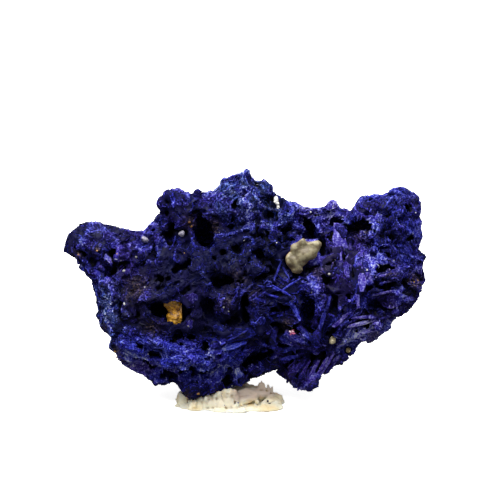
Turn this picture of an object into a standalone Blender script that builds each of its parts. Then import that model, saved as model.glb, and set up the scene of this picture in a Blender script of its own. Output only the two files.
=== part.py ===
"""Azurite specimen: one crystal mass with mineral grains in its hollows, set on a pad of mounting putty.

The tables are in millimetres and the scene is in metres. +X runs along the longest side, -Y is the display
face and +Z is up. The origin is on the shelf, at the centre of the specimen's footprint.
"""

import math

import bmesh
import bpy
from mathutils import Matrix, Vector
from mathutils.bvhtree import BVHTree

MM = 0.001

# Driving dimensions, in mm unless a line says otherwise
FUSE_VOXEL = 0.5  # grid on which the lumps of the crystal mass grow together
MASS_KEEP = 0.165  # share of the fused triangles that stay
CRUMB_SIZE = 2.2  # spacing of the crumbs that roughen the crystal mass
CRUMB_RELIEF = 1.1  # height from pit to crumb top
GRAIN_VOXEL = 0.32  # grid on which the lumps of a nugget grow together
SEAT_GAP = 0.15  # clearance between a grain and its pocket
PUTTY_VOXEL = 0.5
PUTTY_KEEP = 0.35  # share of the fused triangles that stay
PUTTY_GAP = 0.3  # clearance between the putty and the mass that is pressed into it
MIDDLE_X = 0.18  # middle of the finished specimen's footprint, in the tables' coordinates
MIDDLE_Y = 0.88
SIGHT_FALL = 0.25  # drop of the line of sight for each unit of depth; the face is seen from above
SIGHT_REACH = 40.0  # the line of sight starts this far in front
TRIM_HALF = 10.0  # half the side of the block that trims the putty flat

# Lumps: centre x, y, z, then radii along x, y, z
BODY = [
    (-2.0, 0.9, 13.0, 10.0, 9.1, 9.0),
    (7.5, 1.2, 13.0, 9.0, 9.0, 7.5),
    (-9.0, 0.9, 11.5, 6.4, 7.5, 7.2),
    (14.5, 0.9, 14.5, 5.5, 7.0, 6.0),
    (2.0, 1.4, 17.7, 8.0, 6.9, 4.6),
]
LOWER_BAND = [
    (-11.0, -3.4, 8.6, 3.6, 2.4, 1.9),
    (-6.4, -4.2, 7.2, 3.8, 2.6, 2.0),
    (-2.0, -4.4, 7.6, 3.4, 2.4, 1.8),
]
LEFT_EAR = [
    (-17.5, 1.0, 18.6, 3.3, 3.2, 2.4),
    (-20.1, 0.8, 17.8, 0.8, 1.3, 0.9),
    (-17.2, 0.6, 16.4, 1.7, 2.4, 1.5),
    (-13.2, 0.8, 17.4, 4.0, 3.8, 2.7),
    (-15.1, 1.2, 13.6, 2.5, 4.6, 3.6),
    (-14.2, 1.0, 10.2, 3.1, 5.0, 3.3),
]
LOWER_LIP = [
    (-12.1, 0.4, 6.4, 3.3, 4.6, 3.1),
    (-9.6, 0.0, 4.3, 2.8, 4.0, 2.6),
    (-15.0, -0.2, 6.7, 0.9, 1.1, 0.6),
]
FOOT = [
    (-6.1, -0.8, 2.9, 2.2, 3.0, 2.7),
    (-3.0, -0.3, 3.8, 2.7, 3.4, 2.9),
    (-0.9, -0.2, 4.6, 2.0, 3.4, 2.8),
    (1.2, 0.0, 6.0, 3.0, 4.4, 3.4),
    (4.0, 0.4, 6.6, 2.8, 4.4, 3.2),
]
RIGHT_FOOT = [
    (6.8, -1.6, 4.4, 2.6, 3.0, 3.1),
    (9.6, -1.0, 6.8, 2.8, 3.8, 2.9),
    (13.3, -0.2, 9.7, 3.4, 4.8, 2.8),
]
RIGHT_EDGE = [
    (17.5, 0.0, 14.4, 3.1, 4.8, 4.0),
    (18.1, 0.2, 18.0, 2.3, 3.6, 2.8),
    (20.3, -0.8, 16.8, 0.9, 1.2, 0.7),
]
RIGHT_LOBE = [
    (17.1, 0.6, 20.8, 3.3, 4.4, 3.3),
    (14.0, 0.8, 21.3, 2.2, 3.8, 2.7),
    (18.1, 0.4, 23.3, 1.9, 2.4, 1.9),
]
CREST = [
    (-9.8, 0.6, 19.4, 2.0, 2.8, 2.0),
    (-7.6, 0.0, 22.6, 2.7, 2.8, 2.9),
    (-4.4, 1.0, 22.1, 2.6, 3.8, 2.4),
    (-0.8, 0.8, 23.2, 3.1, 4.2, 3.2),
    (0.0, 0.6, 26.0, 1.0, 1.6, 1.3),
    (2.3, 1.0, 25.1, 1.1, 1.6, 1.5),
    (4.8, 1.0, 22.3, 1.8, 2.8, 1.5),
    (8.0, 1.6, 20.6, 3.8, 3.8, 1.6),
    (10.1, 0.4, 22.9, 0.9, 1.0, 1.2),
    (11.2, 1.2, 21.0, 1.8, 2.8, 1.3),
]

# Hollows that open on the display face, in the same columns
HOLLOWS = [
    (-8.9, -6.6, 12.5, 2.2, 3.6, 1.6),  # vug that holds the ochre nugget
    (-4.9, -4.6, 20.9, 1.1, 3.2, 2.0),  # chasm beside the top knob
    (7.1, -6.6, 19.7, 2.8, 3.0, 2.2),  # niche that holds the calcite nugget
    (13.4, -4.4, 21.5, 1.8, 2.8, 0.8),  # slot under the right lobe
    (16.7, -3.8, 23.0, 0.6, 1.6, 0.8),  # pit in the right lobe
    (-2.7, -8.2, 15.8, 1.4, 2.6, 1.0),  # central cavity
    (0.1, -8.4, 13.1, 0.6, 2.8, 2.1),  # upright cleft
    (-14.2, -3.6, 16.8, 1.6, 2.1, 1.0),  # pocket behind the ear
    (-7.2, -7.0, 17.9, 0.9, 2.1, 0.7),
    (7.4, -8.2, 13.7, 1.0, 2.2, 1.5),
    (1.3, -5.2, 6.0, 1.5, 2.6, 1.2),  # undercut between the feet
    (17.4, -4.8, 15.0, 1.6, 2.4, 0.5),  # gap between the layered plates
]

CALCITE_NUGGET = [
    (6.7, -5.6, 20.2, 0.75, 0.8, 0.75),
    (8.0, -5.6, 19.9, 0.75, 0.7, 0.8),
    (6.7, -5.6, 19.1, 1.3, 0.95, 1.15),
    (5.7, -5.6, 18.3, 1.1, 0.9, 1.0),
    (6.0, -5.7, 17.2, 0.65, 0.7, 0.7),
    (5.1, -5.6, 17.6, 0.6, 0.6, 0.6),
    (7.4, -5.6, 18.9, 0.6, 0.6, 0.6),
]
OCHRE_NUGGET = [
    (-8.7, -5.4, 12.9, 0.5, 0.6, 0.55),
    (-8.1, -5.4, 12.1, 0.7, 0.7, 0.95),
    (-8.2, -5.4, 11.2, 0.45, 0.5, 0.55),
]

# Single grains seated on the display face: name, x, height of the line of sight where it crosses
# y = 0, radii across, deep and up, lean in degrees
SEATED_GRAINS = [
    ("cream_grain", 10.0, 7.4, 0.40, 0.40, 0.46, 15.0),
    ("round_grain", 11.9, 6.1, 0.31, 0.31, 0.31, 0.0),
    ("pink_flake", 5.3, 8.4, 0.50, 0.22, 0.20, 40.0),
    ("ledge_grain", -11.5, 19.3, 0.38, 0.34, 0.32, 30.0),
    ("pale_grain", -7.2, 19.9, 0.38, 0.36, 0.34, -20.0),
    ("white_flake", 3.8, 23.6, 0.30, 0.32, 0.90, 20.0),
]

PUTTY = [
    (-1.8, 0.2, 0.2, 6.5, 6.2, 1.3),
    (-5.2, -0.2, 0.6, 2.8, 4.4, 1.5),
    (1.6, 1.0, 1.0, 2.9, 3.8, 1.9),
    (-0.8, 0.6, 1.0, 3.2, 3.8, 1.8),
    (3.2, 1.2, 0.8, 1.4, 2.2, 1.4),
]


def clear_scene():
    for old in list(bpy.data.objects):
        bpy.data.objects.remove(old)


def principled(name, colour, roughness):
    made = bpy.data.materials.new(name)
    made.use_nodes = True
    shader = made.node_tree.nodes["Principled BSDF"]
    shader.inputs["Base Color"].default_value = (*colour, 1.0)
    shader.inputs["Roughness"].default_value = roughness
    made.diffuse_color = (*colour, 1.0)
    return made


def link(name, shape, material=None):
    """A new object from a bmesh, which is freed."""
    mesh = bpy.data.meshes.new(name)
    shape.to_mesh(mesh)
    shape.free()
    made = bpy.data.objects.new(name, mesh)
    made.location = (-MIDDLE_X * MM, -MIDDLE_Y * MM, 0.0)
    bpy.context.scene.collection.objects.link(made)
    if material:
        mesh.materials.append(material)
    return made


def helper(name, shape):
    made = link(name, shape)
    made.hide_render = True
    made.display_type = "WIRE"
    return made


def add_lumps(shape, lumps, grow=0.0, detail=3):
    """One closed ball for each lump, each radius made larger by grow. Returns the new points."""
    points = []
    for x, y, z, rx, ry, rz in lumps:
        ball = bmesh.ops.create_icosphere(shape, subdivisions=detail, radius=MM)["verts"]
        bmesh.ops.scale(shape, vec=(rx + grow, ry + grow, rz + grow), verts=ball)
        bmesh.ops.translate(shape, vec=Vector((x, y, z)) * MM, verts=ball)
        points += ball
    return points


def lumps(table):
    shape = bmesh.new()
    add_lumps(shape, table)
    return shape


def grain(shape, place, radii, lean, grow=0.0):
    """One ball-like grain, leaning sideways, centred on a point."""
    ball = add_lumps(shape, [(0.0, 0.0, 0.0, *radii)], grow, detail=2)
    turn = Matrix.Rotation(math.radians(lean), 3, "Y")
    bmesh.ops.rotate(shape, cent=(0.0, 0.0, 0.0), matrix=turn, verts=ball)
    bmesh.ops.translate(shape, vec=place, verts=ball)


def fuse(piece, voxel):
    grown = piece.modifiers.new("fuse", "REMESH")
    grown.mode = "VOXEL"
    grown.voxel_size = voxel * MM


def thin(piece, keep):
    thinned = piece.modifiers.new("thin", "DECIMATE")
    thinned.ratio = keep


def roughen(piece, size, relief):
    crumbs = bpy.data.textures.new(piece.name + "_crumbs", "CLOUDS")
    crumbs.noise_scale = size * MM
    rough = piece.modifiers.new("roughen", "DISPLACE")
    rough.texture = crumbs
    rough.texture_coords = "LOCAL"
    rough.strength = relief * MM
    rough.mid_level = 0.5


def cut(piece, cutter):
    taken = piece.modifiers.new(cutter.name, "BOOLEAN")
    taken.operation = "DIFFERENCE"
    taken.object = cutter
    taken.use_self = True


def as_built(piece):
    """The object's surface as its modifiers leave it, as a bmesh."""
    bpy.context.view_layer.update()
    shape = bmesh.new()
    shape.from_object(piece, bpy.context.evaluated_depsgraph_get())
    return shape


def crystal_mass(material):
    table = BODY + LOWER_BAND + LEFT_EAR + LOWER_LIP + FOOT + RIGHT_FOOT + RIGHT_EDGE + RIGHT_LOBE + CREST
    mass = link("azurite_mass", lumps(table), material)
    fuse(mass, FUSE_VOXEL)
    roughen(mass, CRUMB_SIZE, CRUMB_RELIEF)
    thin(mass, MASS_KEEP)
    return mass


def nugget(name, table, material):
    made = link(name, lumps(table), material)
    fuse(made, GRAIN_VOXEL)
    return made


def seat_of(mass_tree, x, z):
    """Where the display face is met by the line of sight that crosses y = 0 at this x and z."""
    start = Vector((x, -SIGHT_REACH, z + SIGHT_REACH * SIGHT_FALL)) * MM
    return mass_tree.ray_cast(start, Vector((0.0, 1.0, -SIGHT_FALL)))[0]


def seated_grains(mass, openings, pale, pink):
    """The single grains, each half sunk in the mass, with their pockets added to the openings."""
    surface = as_built(mass)
    tree = BVHTree.FromBMesh(surface)
    surface.free()
    for name, x, z, across, deep, up, lean in SEATED_GRAINS:
        place = seat_of(tree, x, z)
        shape = bmesh.new()
        grain(shape, place, (across, deep, up), lean)
        link(name, shape, pink if name == "pink_flake" else pale)
        grain(openings, place, (across, deep, up), lean, SEAT_GAP)


def putty_pad(mass, material):
    pad = link("putty_pad", lumps(PUTTY), material)
    fuse(pad, PUTTY_VOXEL)
    thin(pad, PUTTY_KEEP)
    below = bmesh.new()
    corners = bmesh.ops.create_cube(below, size=2.0 * TRIM_HALF * MM)["verts"]
    bmesh.ops.translate(below, vec=(0.0, 0.0, -TRIM_HALF * MM), verts=corners)
    cut(pad, helper("flat_base", below))
    print_of_mass = helper("print_of_mass", as_built(mass))
    swell = print_of_mass.modifiers.new("swell", "DISPLACE")
    swell.mid_level = 0.0
    swell.strength = PUTTY_GAP * MM
    cut(pad, print_of_mass)


def main():
    clear_scene()
    pale = principled("pale grain", (0.55, 0.50, 0.38), 0.6)
    pink = principled("pink grain", (0.60, 0.16, 0.24), 0.5)
    mass = crystal_mass(principled("azurite", (0.012, 0.013, 0.19), 0.45))
    nugget("calcite_nugget", CALCITE_NUGGET, principled("calcite", (0.48, 0.43, 0.30), 0.4))
    nugget("ochre_nugget", OCHRE_NUGGET, principled("iron ochre", (0.45, 0.24, 0.03), 0.7))
    openings = bmesh.new()
    add_lumps(openings, HOLLOWS, detail=2)
    add_lumps(openings, CALCITE_NUGGET + OCHRE_NUGGET, SEAT_GAP, detail=2)
    seated_grains(mass, openings, pale, pink)
    cut(mass, helper("openings", openings))
    putty_pad(mass, principled("mounting putty", (0.62, 0.57, 0.47), 0.6))


main()
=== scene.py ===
import math
import time
import bmesh
import bpy
import numpy as np
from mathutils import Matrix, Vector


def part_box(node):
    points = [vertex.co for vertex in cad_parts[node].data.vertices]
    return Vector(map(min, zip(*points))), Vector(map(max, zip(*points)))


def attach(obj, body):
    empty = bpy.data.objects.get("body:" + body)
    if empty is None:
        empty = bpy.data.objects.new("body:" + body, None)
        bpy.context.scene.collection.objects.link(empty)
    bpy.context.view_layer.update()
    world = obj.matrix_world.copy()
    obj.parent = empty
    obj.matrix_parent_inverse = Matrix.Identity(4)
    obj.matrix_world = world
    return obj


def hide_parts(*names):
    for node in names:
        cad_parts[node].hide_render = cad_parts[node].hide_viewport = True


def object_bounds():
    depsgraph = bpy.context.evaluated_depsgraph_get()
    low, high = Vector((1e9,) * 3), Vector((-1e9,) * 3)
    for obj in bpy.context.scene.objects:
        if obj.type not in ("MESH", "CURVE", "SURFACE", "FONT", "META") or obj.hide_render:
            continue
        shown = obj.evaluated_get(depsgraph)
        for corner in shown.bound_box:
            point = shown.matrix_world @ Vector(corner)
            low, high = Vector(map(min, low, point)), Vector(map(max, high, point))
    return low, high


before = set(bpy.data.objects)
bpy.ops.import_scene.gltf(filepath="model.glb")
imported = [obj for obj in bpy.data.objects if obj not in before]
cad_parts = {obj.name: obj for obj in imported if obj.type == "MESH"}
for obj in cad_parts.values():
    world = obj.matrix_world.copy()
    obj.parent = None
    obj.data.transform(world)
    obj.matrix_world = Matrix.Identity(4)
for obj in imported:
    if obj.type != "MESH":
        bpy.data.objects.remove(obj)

import openvdb
from mathutils import Vector

started = time.time()
mm = 0.001
cadBox = [list(corner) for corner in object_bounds()]


def report(text):
    print(f"[{time.time() - started:5.1f} s] {text}")


def inMm(corners):
    return [np.array(corner) / mm for corner in corners]


# A field is a block of signed distances in mm ("values") with the grid index of its first voxel ("low").

def meshArrays(piece):
    mesh = piece.data
    points = np.empty(len(mesh.vertices) * 3, np.float32)
    mesh.vertices.foreach_get("co", points)
    mesh.calc_loop_triangles()
    triangles = np.empty(len(mesh.loop_triangles) * 3, np.int32)
    mesh.loop_triangles.foreach_get("vertices", triangles)
    return points.reshape(-1, 3) / mm, triangles.reshape(-1, 3)


def fieldOf(node, voxel, reach, margin):
    # level set of a plain solid
    points, triangles = meshArrays(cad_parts[node])
    grid = openvdb.FloatGrid.createLevelSetFromPolygons(
        points.astype(np.float32), triangles=triangles.astype(np.uint32),
        transform=openvdb.createLinearTransform(voxel), halfWidth=reach / voxel)
    low = np.floor((points.min(0) - margin) / voxel).astype(int)
    high = np.ceil((points.max(0) + margin) / voxel).astype(int)
    values = np.zeros(high - low + 1, np.float32)
    grid.copyToArray(values, ijk=tuple(int(i) for i in low))
    return {"values": values, "low": low, "voxel": voxel}


def fieldFrom(low, high, voxel):
    # an empty block; what is stamped into it is solid
    base = np.floor(np.array(low) / voxel).astype(int)
    size = np.ceil(np.array(high) / voxel).astype(int) - base + 1
    return {"values": np.full(size, 4.0, np.float32), "low": base, "voxel": voxel}


def bSpline(count, spacing, phase):
    # each row spreads one voxel over four lattice points
    at = np.arange(count) / spacing + phase
    cell = np.floor(at).astype(int)
    t = (at - cell)[:, None]
    weight = np.hstack([(1 - t) ** 3, 3 * t ** 3 - 6 * t ** 2 + 4, -3 * t ** 3 + 3 * t ** 2 + 3 * t + 1, t ** 3]) / 6
    rows = np.zeros((count, cell.max() + 4), np.float32)
    for k in range(4):
        rows[np.arange(count), cell + k] = weight[:, k]
    return rows


def spread(rows, block):
    # carries the values of a lattice to every voxel, one axis at a time
    for row, sums in zip(rows, ("ia,abc->ibc", "jb,ibc->ijc", "kc,ijc->ijk")):
        block = np.einsum(sums, row, block, optimize=True)
    return block


def noise(field, size, seed):
    # smooth random field with features of about this size in mm; its spread is 1
    dice = np.random.default_rng(seed)
    rows = [bSpline(n, max(size / field["voxel"], 1.01), dice.random()) for n in field["values"].shape]
    out = spread(rows, dice.standard_normal([r.shape[1] for r in rows]).astype(np.float32))
    return out / out.std()


def sampleBlock(block, at):
    # value between the voxels of a block, at places given in voxels
    at = at.astype(np.float32)
    cell = np.clip(np.floor(at).astype(np.int32), 0, np.array(block.shape, np.int32) - 2)
    t = np.clip(at - cell, 0, 1)
    total = 0
    for dx, dy, dz in np.ndindex(2, 2, 2):
        w = np.abs(1 - dx - t[:, 0]) * np.abs(1 - dy - t[:, 1]) * np.abs(1 - dz - t[:, 2])
        total = total + w * block[cell[:, 0] + dx, cell[:, 1] + dy, cell[:, 2] + dz]
    return total


def sample(field, points, name="values"):
    return sampleBlock(field[name], points / field["voxel"] - field["low"])


def window(field, centre, reach):
    voxel = field["voxel"]
    low = np.maximum(np.floor((centre - reach) / voxel).astype(int) - field["low"], 0)
    high = np.minimum(np.ceil((centre + reach) / voxel).astype(int) + 1 - field["low"], field["values"].shape)
    if (high <= low).any():
        return None, None
    axes = [(np.arange(a, b) + base) * voxel - c for a, b, base, c in zip(low, high, field["low"], centre)]
    place = np.stack(np.meshgrid(*axes, indexing="ij"), -1)
    return tuple(slice(a, b) for a, b in zip(low, high)), place


def stamp(field, centre, radii, turn=None, dig=False, tablet=False, rough=0.0):
    # adds an ellipsoid or a flat-sided tablet to the solid, or digs it out; rough mm of jagged outline
    centre = np.asarray(centre, float)
    radii = np.asarray(radii, float)
    reach = np.full(3, np.linalg.norm(radii) if tablet else radii.max()) + 0.2 + rough
    part, place = window(field, centre, reach)
    if part is None:
        return
    if turn is not None:
        place = place @ turn
    if tablet:
        over = np.abs(place) - radii
        d = np.linalg.norm(np.maximum(over, 0), axis=-1) + np.minimum(over.max(-1), 0)
    else:
        k0 = np.linalg.norm(place / radii, axis=-1)
        d = k0 * (k0 - 1) / (np.linalg.norm(place / np.square(radii), axis=-1) + 1e-6)
    if rough:
        d = d + rough * field["jag"][part]
    values = field["values"]
    values[part] = np.maximum(values[part], -d) if dig else np.minimum(values[part], d)


def stampEach(field, shapes, **how):
    for centre, radii in shapes:
        stamp(field, centre, radii, **how)


def roughen(field, layers, seed):
    for k, (size, height) in enumerate(layers):
        field["values"] -= height * noise(field, size, seed + k)


def soften(field, times):
    # melts the seams between lumps
    v = field["values"]
    for k in range(3 * times):
        before, middle, after = ([part if a == k % 3 else slice(None) for a in range(3)]
                                 for part in (slice(None, -2), slice(1, -1), slice(2, None)))
        v[tuple(middle)] = (v[tuple(before)] + 2 * v[tuple(middle)] + v[tuple(after)]) / 4


def unit(v):
    return v / (np.linalg.norm(v, axis=-1, keepdims=True) + 1e-9)


def slope(field, points, name="values", step=None):
    # outward direction of a field at points
    step = step or field["voxel"]
    return unit(np.stack([sample(field, points + o, name) - sample(field, points - o, name)
                          for o in np.eye(3) * step], -1))


def skinPoints(field, count, dice):
    # random points on the surface, with their outward directions
    v = field["values"]
    near = np.argwhere(np.abs(v[1:-1, 1:-1, 1:-1]) < 0.5 * field["voxel"]) + 1
    pick = near[dice.integers(0, len(near), count)]
    points = (pick + field["low"] + dice.uniform(-0.5, 0.5, (count, 3))) * field["voxel"]
    out = slope(field, points)
    return points - out * sample(field, points)[:, None], out


def openness(field, points, out):
    # 1 in the open, towards 0 at the bottom of a hollow
    total = 0
    for far in (0.4, 0.8, 1.6):
        total = total + np.clip(sample(field, points + out * far) / far, 0, 1)
    return total / 3


# The display face is laid out from the eye: a place (x, h) is where a line of sight crosses the plane y = 0.
eye = np.array([0.40, -234.14, 76.16])
sight = np.arange(0.94, 1.05, 0.0004)  # steps along a line of sight, as shares of the way to that plane


def faceAt(field, x, h, name="values"):
    # a line of sight that misses the stone gives the point where it crosses y = 0
    aim = np.array([x, 0.0, h]) - eye
    line = eye + aim * sight[:, None]
    inside = sample(field, line, name) < 0
    return line[np.argmax(inside) if inside.any() else np.abs(sight - 1).argmin()], aim / np.linalg.norm(aim)


def onFace(points):
    # the place (x, h) where each point shows
    shown = eye + (points - eye) * (eye[1] / (eye[1] - points[:, 1]))[:, None]
    return shown[:, [0, 2]]


def outlineMap(outline, step=0.12, margin=2, far=9.0):
    # flat map of the distance to a closed outline in mm, negative inside
    corners = np.array(outline)
    low = corners.min(0) - margin
    size = np.ceil((corners.max(0) + margin - low) / step).astype(int)
    flat = np.stack(np.meshgrid(*[np.arange(n) for n in size], indexing="ij"), -1).reshape(-1, 2) * step + low
    near, inside = np.full(len(flat), far), np.zeros(len(flat), bool)
    for (x, h), (dx, dh) in zip(corners, np.roll(corners, -1, 0) - corners):
        t = np.clip(((flat - (x, h)) @ (dx, dh)) / (dx * dx + dh * dh), 0, 1)
        near = np.minimum(near, np.hypot(flat[:, 0] - x - dx * t, flat[:, 1] - h - dh * t))
        if dh:
            crosses = (flat[:, 1] < h) != (flat[:, 1] < h + dh)
            inside ^= crosses & (flat[:, 0] < x + dx * (flat[:, 1] - h) / dh)
    return {"far": np.where(inside, -near, near).reshape(*size, 1).repeat(2, 2), "low": low, "step": step}


def outside(points):
    # how far outside the outline of the stone each point shows, in mm; less than 0 inside
    at = (onFace(points) - outline["low"]) / outline["step"]
    return sampleBlock(outline["far"], np.column_stack([at, at[:, 0] * 0]))


def faceFrame(along, lean):
    # right, into the stone and up as seen from the eye, turned by lean degrees
    side = unit(np.cross(along, (0, 0, 1.0)))
    over = np.cross(side, along)
    a = math.radians(lean)
    return np.stack([side * math.cos(a) + over * math.sin(a), along, over * math.cos(a) - side * math.sin(a)], 1)


def frames(axis, roll):
    # turning matrices whose third column is the axis
    helper = np.where(np.abs(axis[:, 2:3]) < 0.9, np.array([[0, 0, 1.0]]), np.array([[1.0, 0, 0]]))
    a = unit(np.cross(helper, axis))
    b = np.cross(axis, a)
    c, s = np.cos(roll)[:, None], np.sin(roll)[:, None]
    return np.stack([a * c + b * s, b * c - a * s, axis], -1)


def meshObject(name, points, triangles, smooth=False):
    mesh = bpy.data.meshes.new(name)
    mesh.vertices.add(len(points))
    mesh.vertices.foreach_set("co", (points * mm).astype(np.float32).ravel())
    mesh.loops.add(triangles.size)
    mesh.loops.foreach_set("vertex_index", triangles.astype(np.int32).ravel())
    mesh.polygons.add(len(triangles))
    mesh.polygons.foreach_set("loop_start", np.arange(0, triangles.size, 3, dtype=np.int32))
    mesh.update(calc_edges=True)
    mesh.polygons.foreach_set("use_smooth", np.full(len(triangles), smooth))
    piece = bpy.data.objects.new(name, mesh)
    bpy.context.scene.collection.objects.link(piece)
    return piece


def biggestPiece(count, triangles):
    # drops crumbs that touch nothing
    label = np.arange(count)
    while True:
        low = label[triangles].min(1)
        before = label.copy()
        for k in range(3):
            np.minimum.at(label, triangles[:, k], low)
        label = label[label]
        if (label == before).all():
            break
    roots, sizes = np.unique(label[triangles[:, 0]], return_counts=True)
    return triangles[label[triangles[:, 0]] == roots[sizes.argmax()]]


def fieldToMesh(field, name, most, smooth=False):
    grid = openvdb.FloatGrid(float(field["values"].max()))
    grid.copyFromArray(np.ascontiguousarray(field["values"]), ijk=tuple(int(i) for i in field["low"]))
    grid.transform = openvdb.createLinearTransform(field["voxel"])
    points, triangles, quads = grid.convertToPolygons(isovalue=0.0, adaptivity=0.0)
    triangles = np.vstack([triangles, quads[:, [0, 1, 2]], quads[:, [0, 2, 3]]]).astype(np.int64)
    triangles = biggestPiece(len(points), triangles)
    used, triangles = np.unique(triangles, return_inverse=True)
    piece = meshObject(name, points[used], triangles.reshape(-1, 3), smooth)
    count = len(piece.data.polygons)
    if count > most:
        thin = piece.modifiers.new("thin", "DECIMATE")
        thin.ratio = most / count
        bpy.context.view_layer.update()
        mesh = bpy.data.meshes.new_from_object(piece.evaluated_get(bpy.context.evaluated_depsgraph_get()))
        piece.modifiers.clear()
        piece.data = mesh
    report(f"{name}: {count} triangles, thinned to {len(piece.data.polygons)}")
    return piece


def finishPiece(piece, slot, *nodes):
    if nodes:
        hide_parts(*nodes)
    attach(piece, "root")
    return piece


def addAttribute(piece, name, values):
    made = piece.data.attributes.new(name, "FLOAT", "POINT")
    made.data.foreach_set("value", np.asarray(values, np.float32))


# What grows where: centre and radii in mm, then how violet, dusty and green the azurite is (the dust is partly a
# painted sheen), how deep its pores go, the shares of needles and flakes among its crystals, the way they point (right,
# up) with how well they agree, the share of round grains, and how pale it is: partly the zone's own tone, partly
# painted light and shade, lighter on the band, lip and blades low down and darker in the recessed middle.
habitNames = ("violet", "dust_and_sheen", "teal", "open", "needles", "flakes", "right", "up", "agree", "round", "pale")
habits = {
    "ear": ((-17.8, -1, 19.6), (4.5, 5, 2.6), (0.5, 0.35, 0.3, 0.35, 0.04, 0, 0.9, -0.4, 0.2, 0.95, -0.02)),
    "ear hollow": ((-15.5, -3, 16.8), (3, 4, 2.4), (0.75, 0.3, 0, 0.3, 0.1, 0.25, 0.3, -0.9, 0.4, 0.2, 0.2)),
    "left flank": ((-16.4, -2, 11.2), (2.6, 5, 4.5), (0.05, 1.9, 1.1, 0.55, 0.5, 0, 0.1, -1, 0.3, 0.3, 0.12)),
    "knob": ((-7.7, -1, 22.8), (3.2, 4, 2.6), (0.6, 0.05, 0.1, 0.3, 0, 0, 0, 1, 0, 1, 0.02)),
    "peak": ((-0.5, 0, 25), (4.5, 5, 3.2), (0.3, 2.3, 0.95, 0.7, 0.4, 0.05, 0.4, 0.9, 0.2, 0.5, 0.22)),
    "peak side": ((3.5, -1, 22.6), (1.6, 4, 2.6), (0.15, 1, 0.9, 0.7, 0.6, 0.1, -0.5, 0.9, 0.5, 0.2, 0)),
    "centre": ((-1.3, -7, 18.6), (5, 4, 3.4), (0.05, 0.22, 0.35, 1.25, 0.55, 0, 0.2, 1, 0.3, 0.1, -0.12)),
    "middle left": ((-8.8, -6, 15.6), (4, 4, 2.6), (0.3, 0.12, 0.25, 1.1, 0.5, 0.05, 0.9, 0.4, 0.3, 0.15, -0.2)),
    "saddle": ((8.6, 0, 22), (4.2, 5, 1.8), (0.75, 1, 0.1, 0.8, 0.5, 0.1, 0.9, 0.3, 0.4, 0.2, 0.22)),
    "thumb": ((10, -1, 23.3), (0.8, 4, 1), (1.2, 0.4, 0, 0.2, 0.1, 0, 0, 1, 0, 0.3, 0.52)),
    "right lobe": ((17.4, 0, 22.4), (4, 5, 3.4), (0.35, 0.5, 0.15, 1, 0.4, 0, 0.1, 1, 0.4, 0.6, 0.14)),
    "right middle": ((17, -6, 17.8), (3.2, 4, 2.6), (0.2, 1.2, 0, 0.7, 0.8, 0.1, -0.6, 0.8, 0.4, 0.4, 0.2)),
    "violet plates": ((11.4, -7, 16.9), (2.3, 4, 3.6), (1, 0.25, 0, 0.35, 0.1, 0.35, 0.1, 1, 0.6, 0, 0)),
    "layers": ((17.2, -4, 13.4), (3.6, 4, 2.4), (0.8, 0.55, 0.1, 1.4, 0.3, 0.5, 1, 0.08, 0.85, 0.1, 0.06)),
    "right edge": ((19, -2, 10.4), (3, 5, 2.6), (0.8, 0.7, 0.1, 0.45, 0.2, 0.3, 0.8, 0.6, 0.5, 0.2, 0.32)),
    "centre right": ((3.8, -7, 13.6), (3.6, 4, 2.2), (0.1, 0.1, 0, 0.9, 0.6, 0.6, 0.8, -0.5, 0.45, 0, 0)),
    "lower middle": ((5.4, -7, 9.4), (6, 4, 3.4), (0.45, 0.1, 0, 1.3, 0.1, 1, 0.6, -0.75, 0.25, 0, 0.08)),
    "blades": ((14, -5, 8.4), (3.6, 4, 2.4), (0.8, 2, 0.2, 0.7, 0.1, 0.6, 1, 0.15, 0.7, 0.1, 0.46)),
    "fan": ((8, -3, 3.9), (3.6, 4, 2.8), (0.8, 0.35, 0, 1.2, 0, 0.9, 0.55, 0.83, 0.85, 0, 0.08)),
    "dark middle": ((-0.2, -7, 10.6), (5, 4, 2), (0.2, 0.05, 0.08, 0.9, 0.2, 0.25, 0.7, 0.3, 0.1, 0.2, -0.19)),
    "vug": ((-8.6, -6, 11.8), (4.4, 4, 2.2), (0.45, 0.1, 0.2, 0.8, 0.2, 0.15, 0.9, 0.2, 0.3, 0.2, -0.2)),
    "band left": ((-9.8, -6, 7.6), (4.6, 4, 2.2), (0.05, 0.5, 0, 1.1, 0.9, 0.35, 0.85, -0.5, 0.7, 0.1, 0.4)),
    "band right": ((-2.6, -7, 7.4), (3.6, 4, 1.9), (0.25, 0.15, 0, 0.7, 0.3, 0.9, 1, -0.1, 0.6, 0, 0.3)),
    "band low": ((-4.4, -6, 4.9), (3.6, 4, 1.6), (0.1, 0.15, 0, 0.8, 0.5, 0.8, 0.8, -0.6, 0.5, 0, 0.54)),
    "lip": ((-11.6, -2, 4.6), (4.4, 5, 1.7), (0.9, 0.4, 0, 0.4, 0.1, 0.15, 0.9, -0.4, 0.4, 0.1, 0.38)),
    "foot": ((-4.8, -2, 2.2), (3.4, 4, 1.6), (0.15, 0.25, 0, 0.45, 0.2, 0.5, 0.9, -0.2, 0.4, 0.1, -0.08)),
    "back top": ((-2, 7, 22.5), (7, 4, 3.5), (0.25, 0.8, 0.5, 0.8, 0.3, 0.1, 0.5, 0.8, 0.3, 0.6, 0.24)),
    "back right": ((13, 7, 17), (6, 4, 5), (0.85, 0.5, 0.1, 0.9, 0.1, 0.6, 0.2, 1, 0.6, 0.2, 0.22)),
    "back middle": ((0, 9, 13), (7, 4, 4.5), (0.15, 0.4, 0.3, 1.1, 0.7, 0.3, 0.9, -0.3, 0.5, 0.2, 0.3)),
    "back left": ((-12, 7, 13), (6, 4, 5), (0.4, 0.8, 0.6, 0.8, 0.2, 0.1, 0.2, -1, 0.3, 0.7, 0.22)),
    "back low": ((2, 7, 6), (9, 4, 3), (0.7, 0.4, 0.1, 0.9, 0.3, 0.6, 0.9, 0.1, 0.6, 0.2, 0.26)),
}
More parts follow.
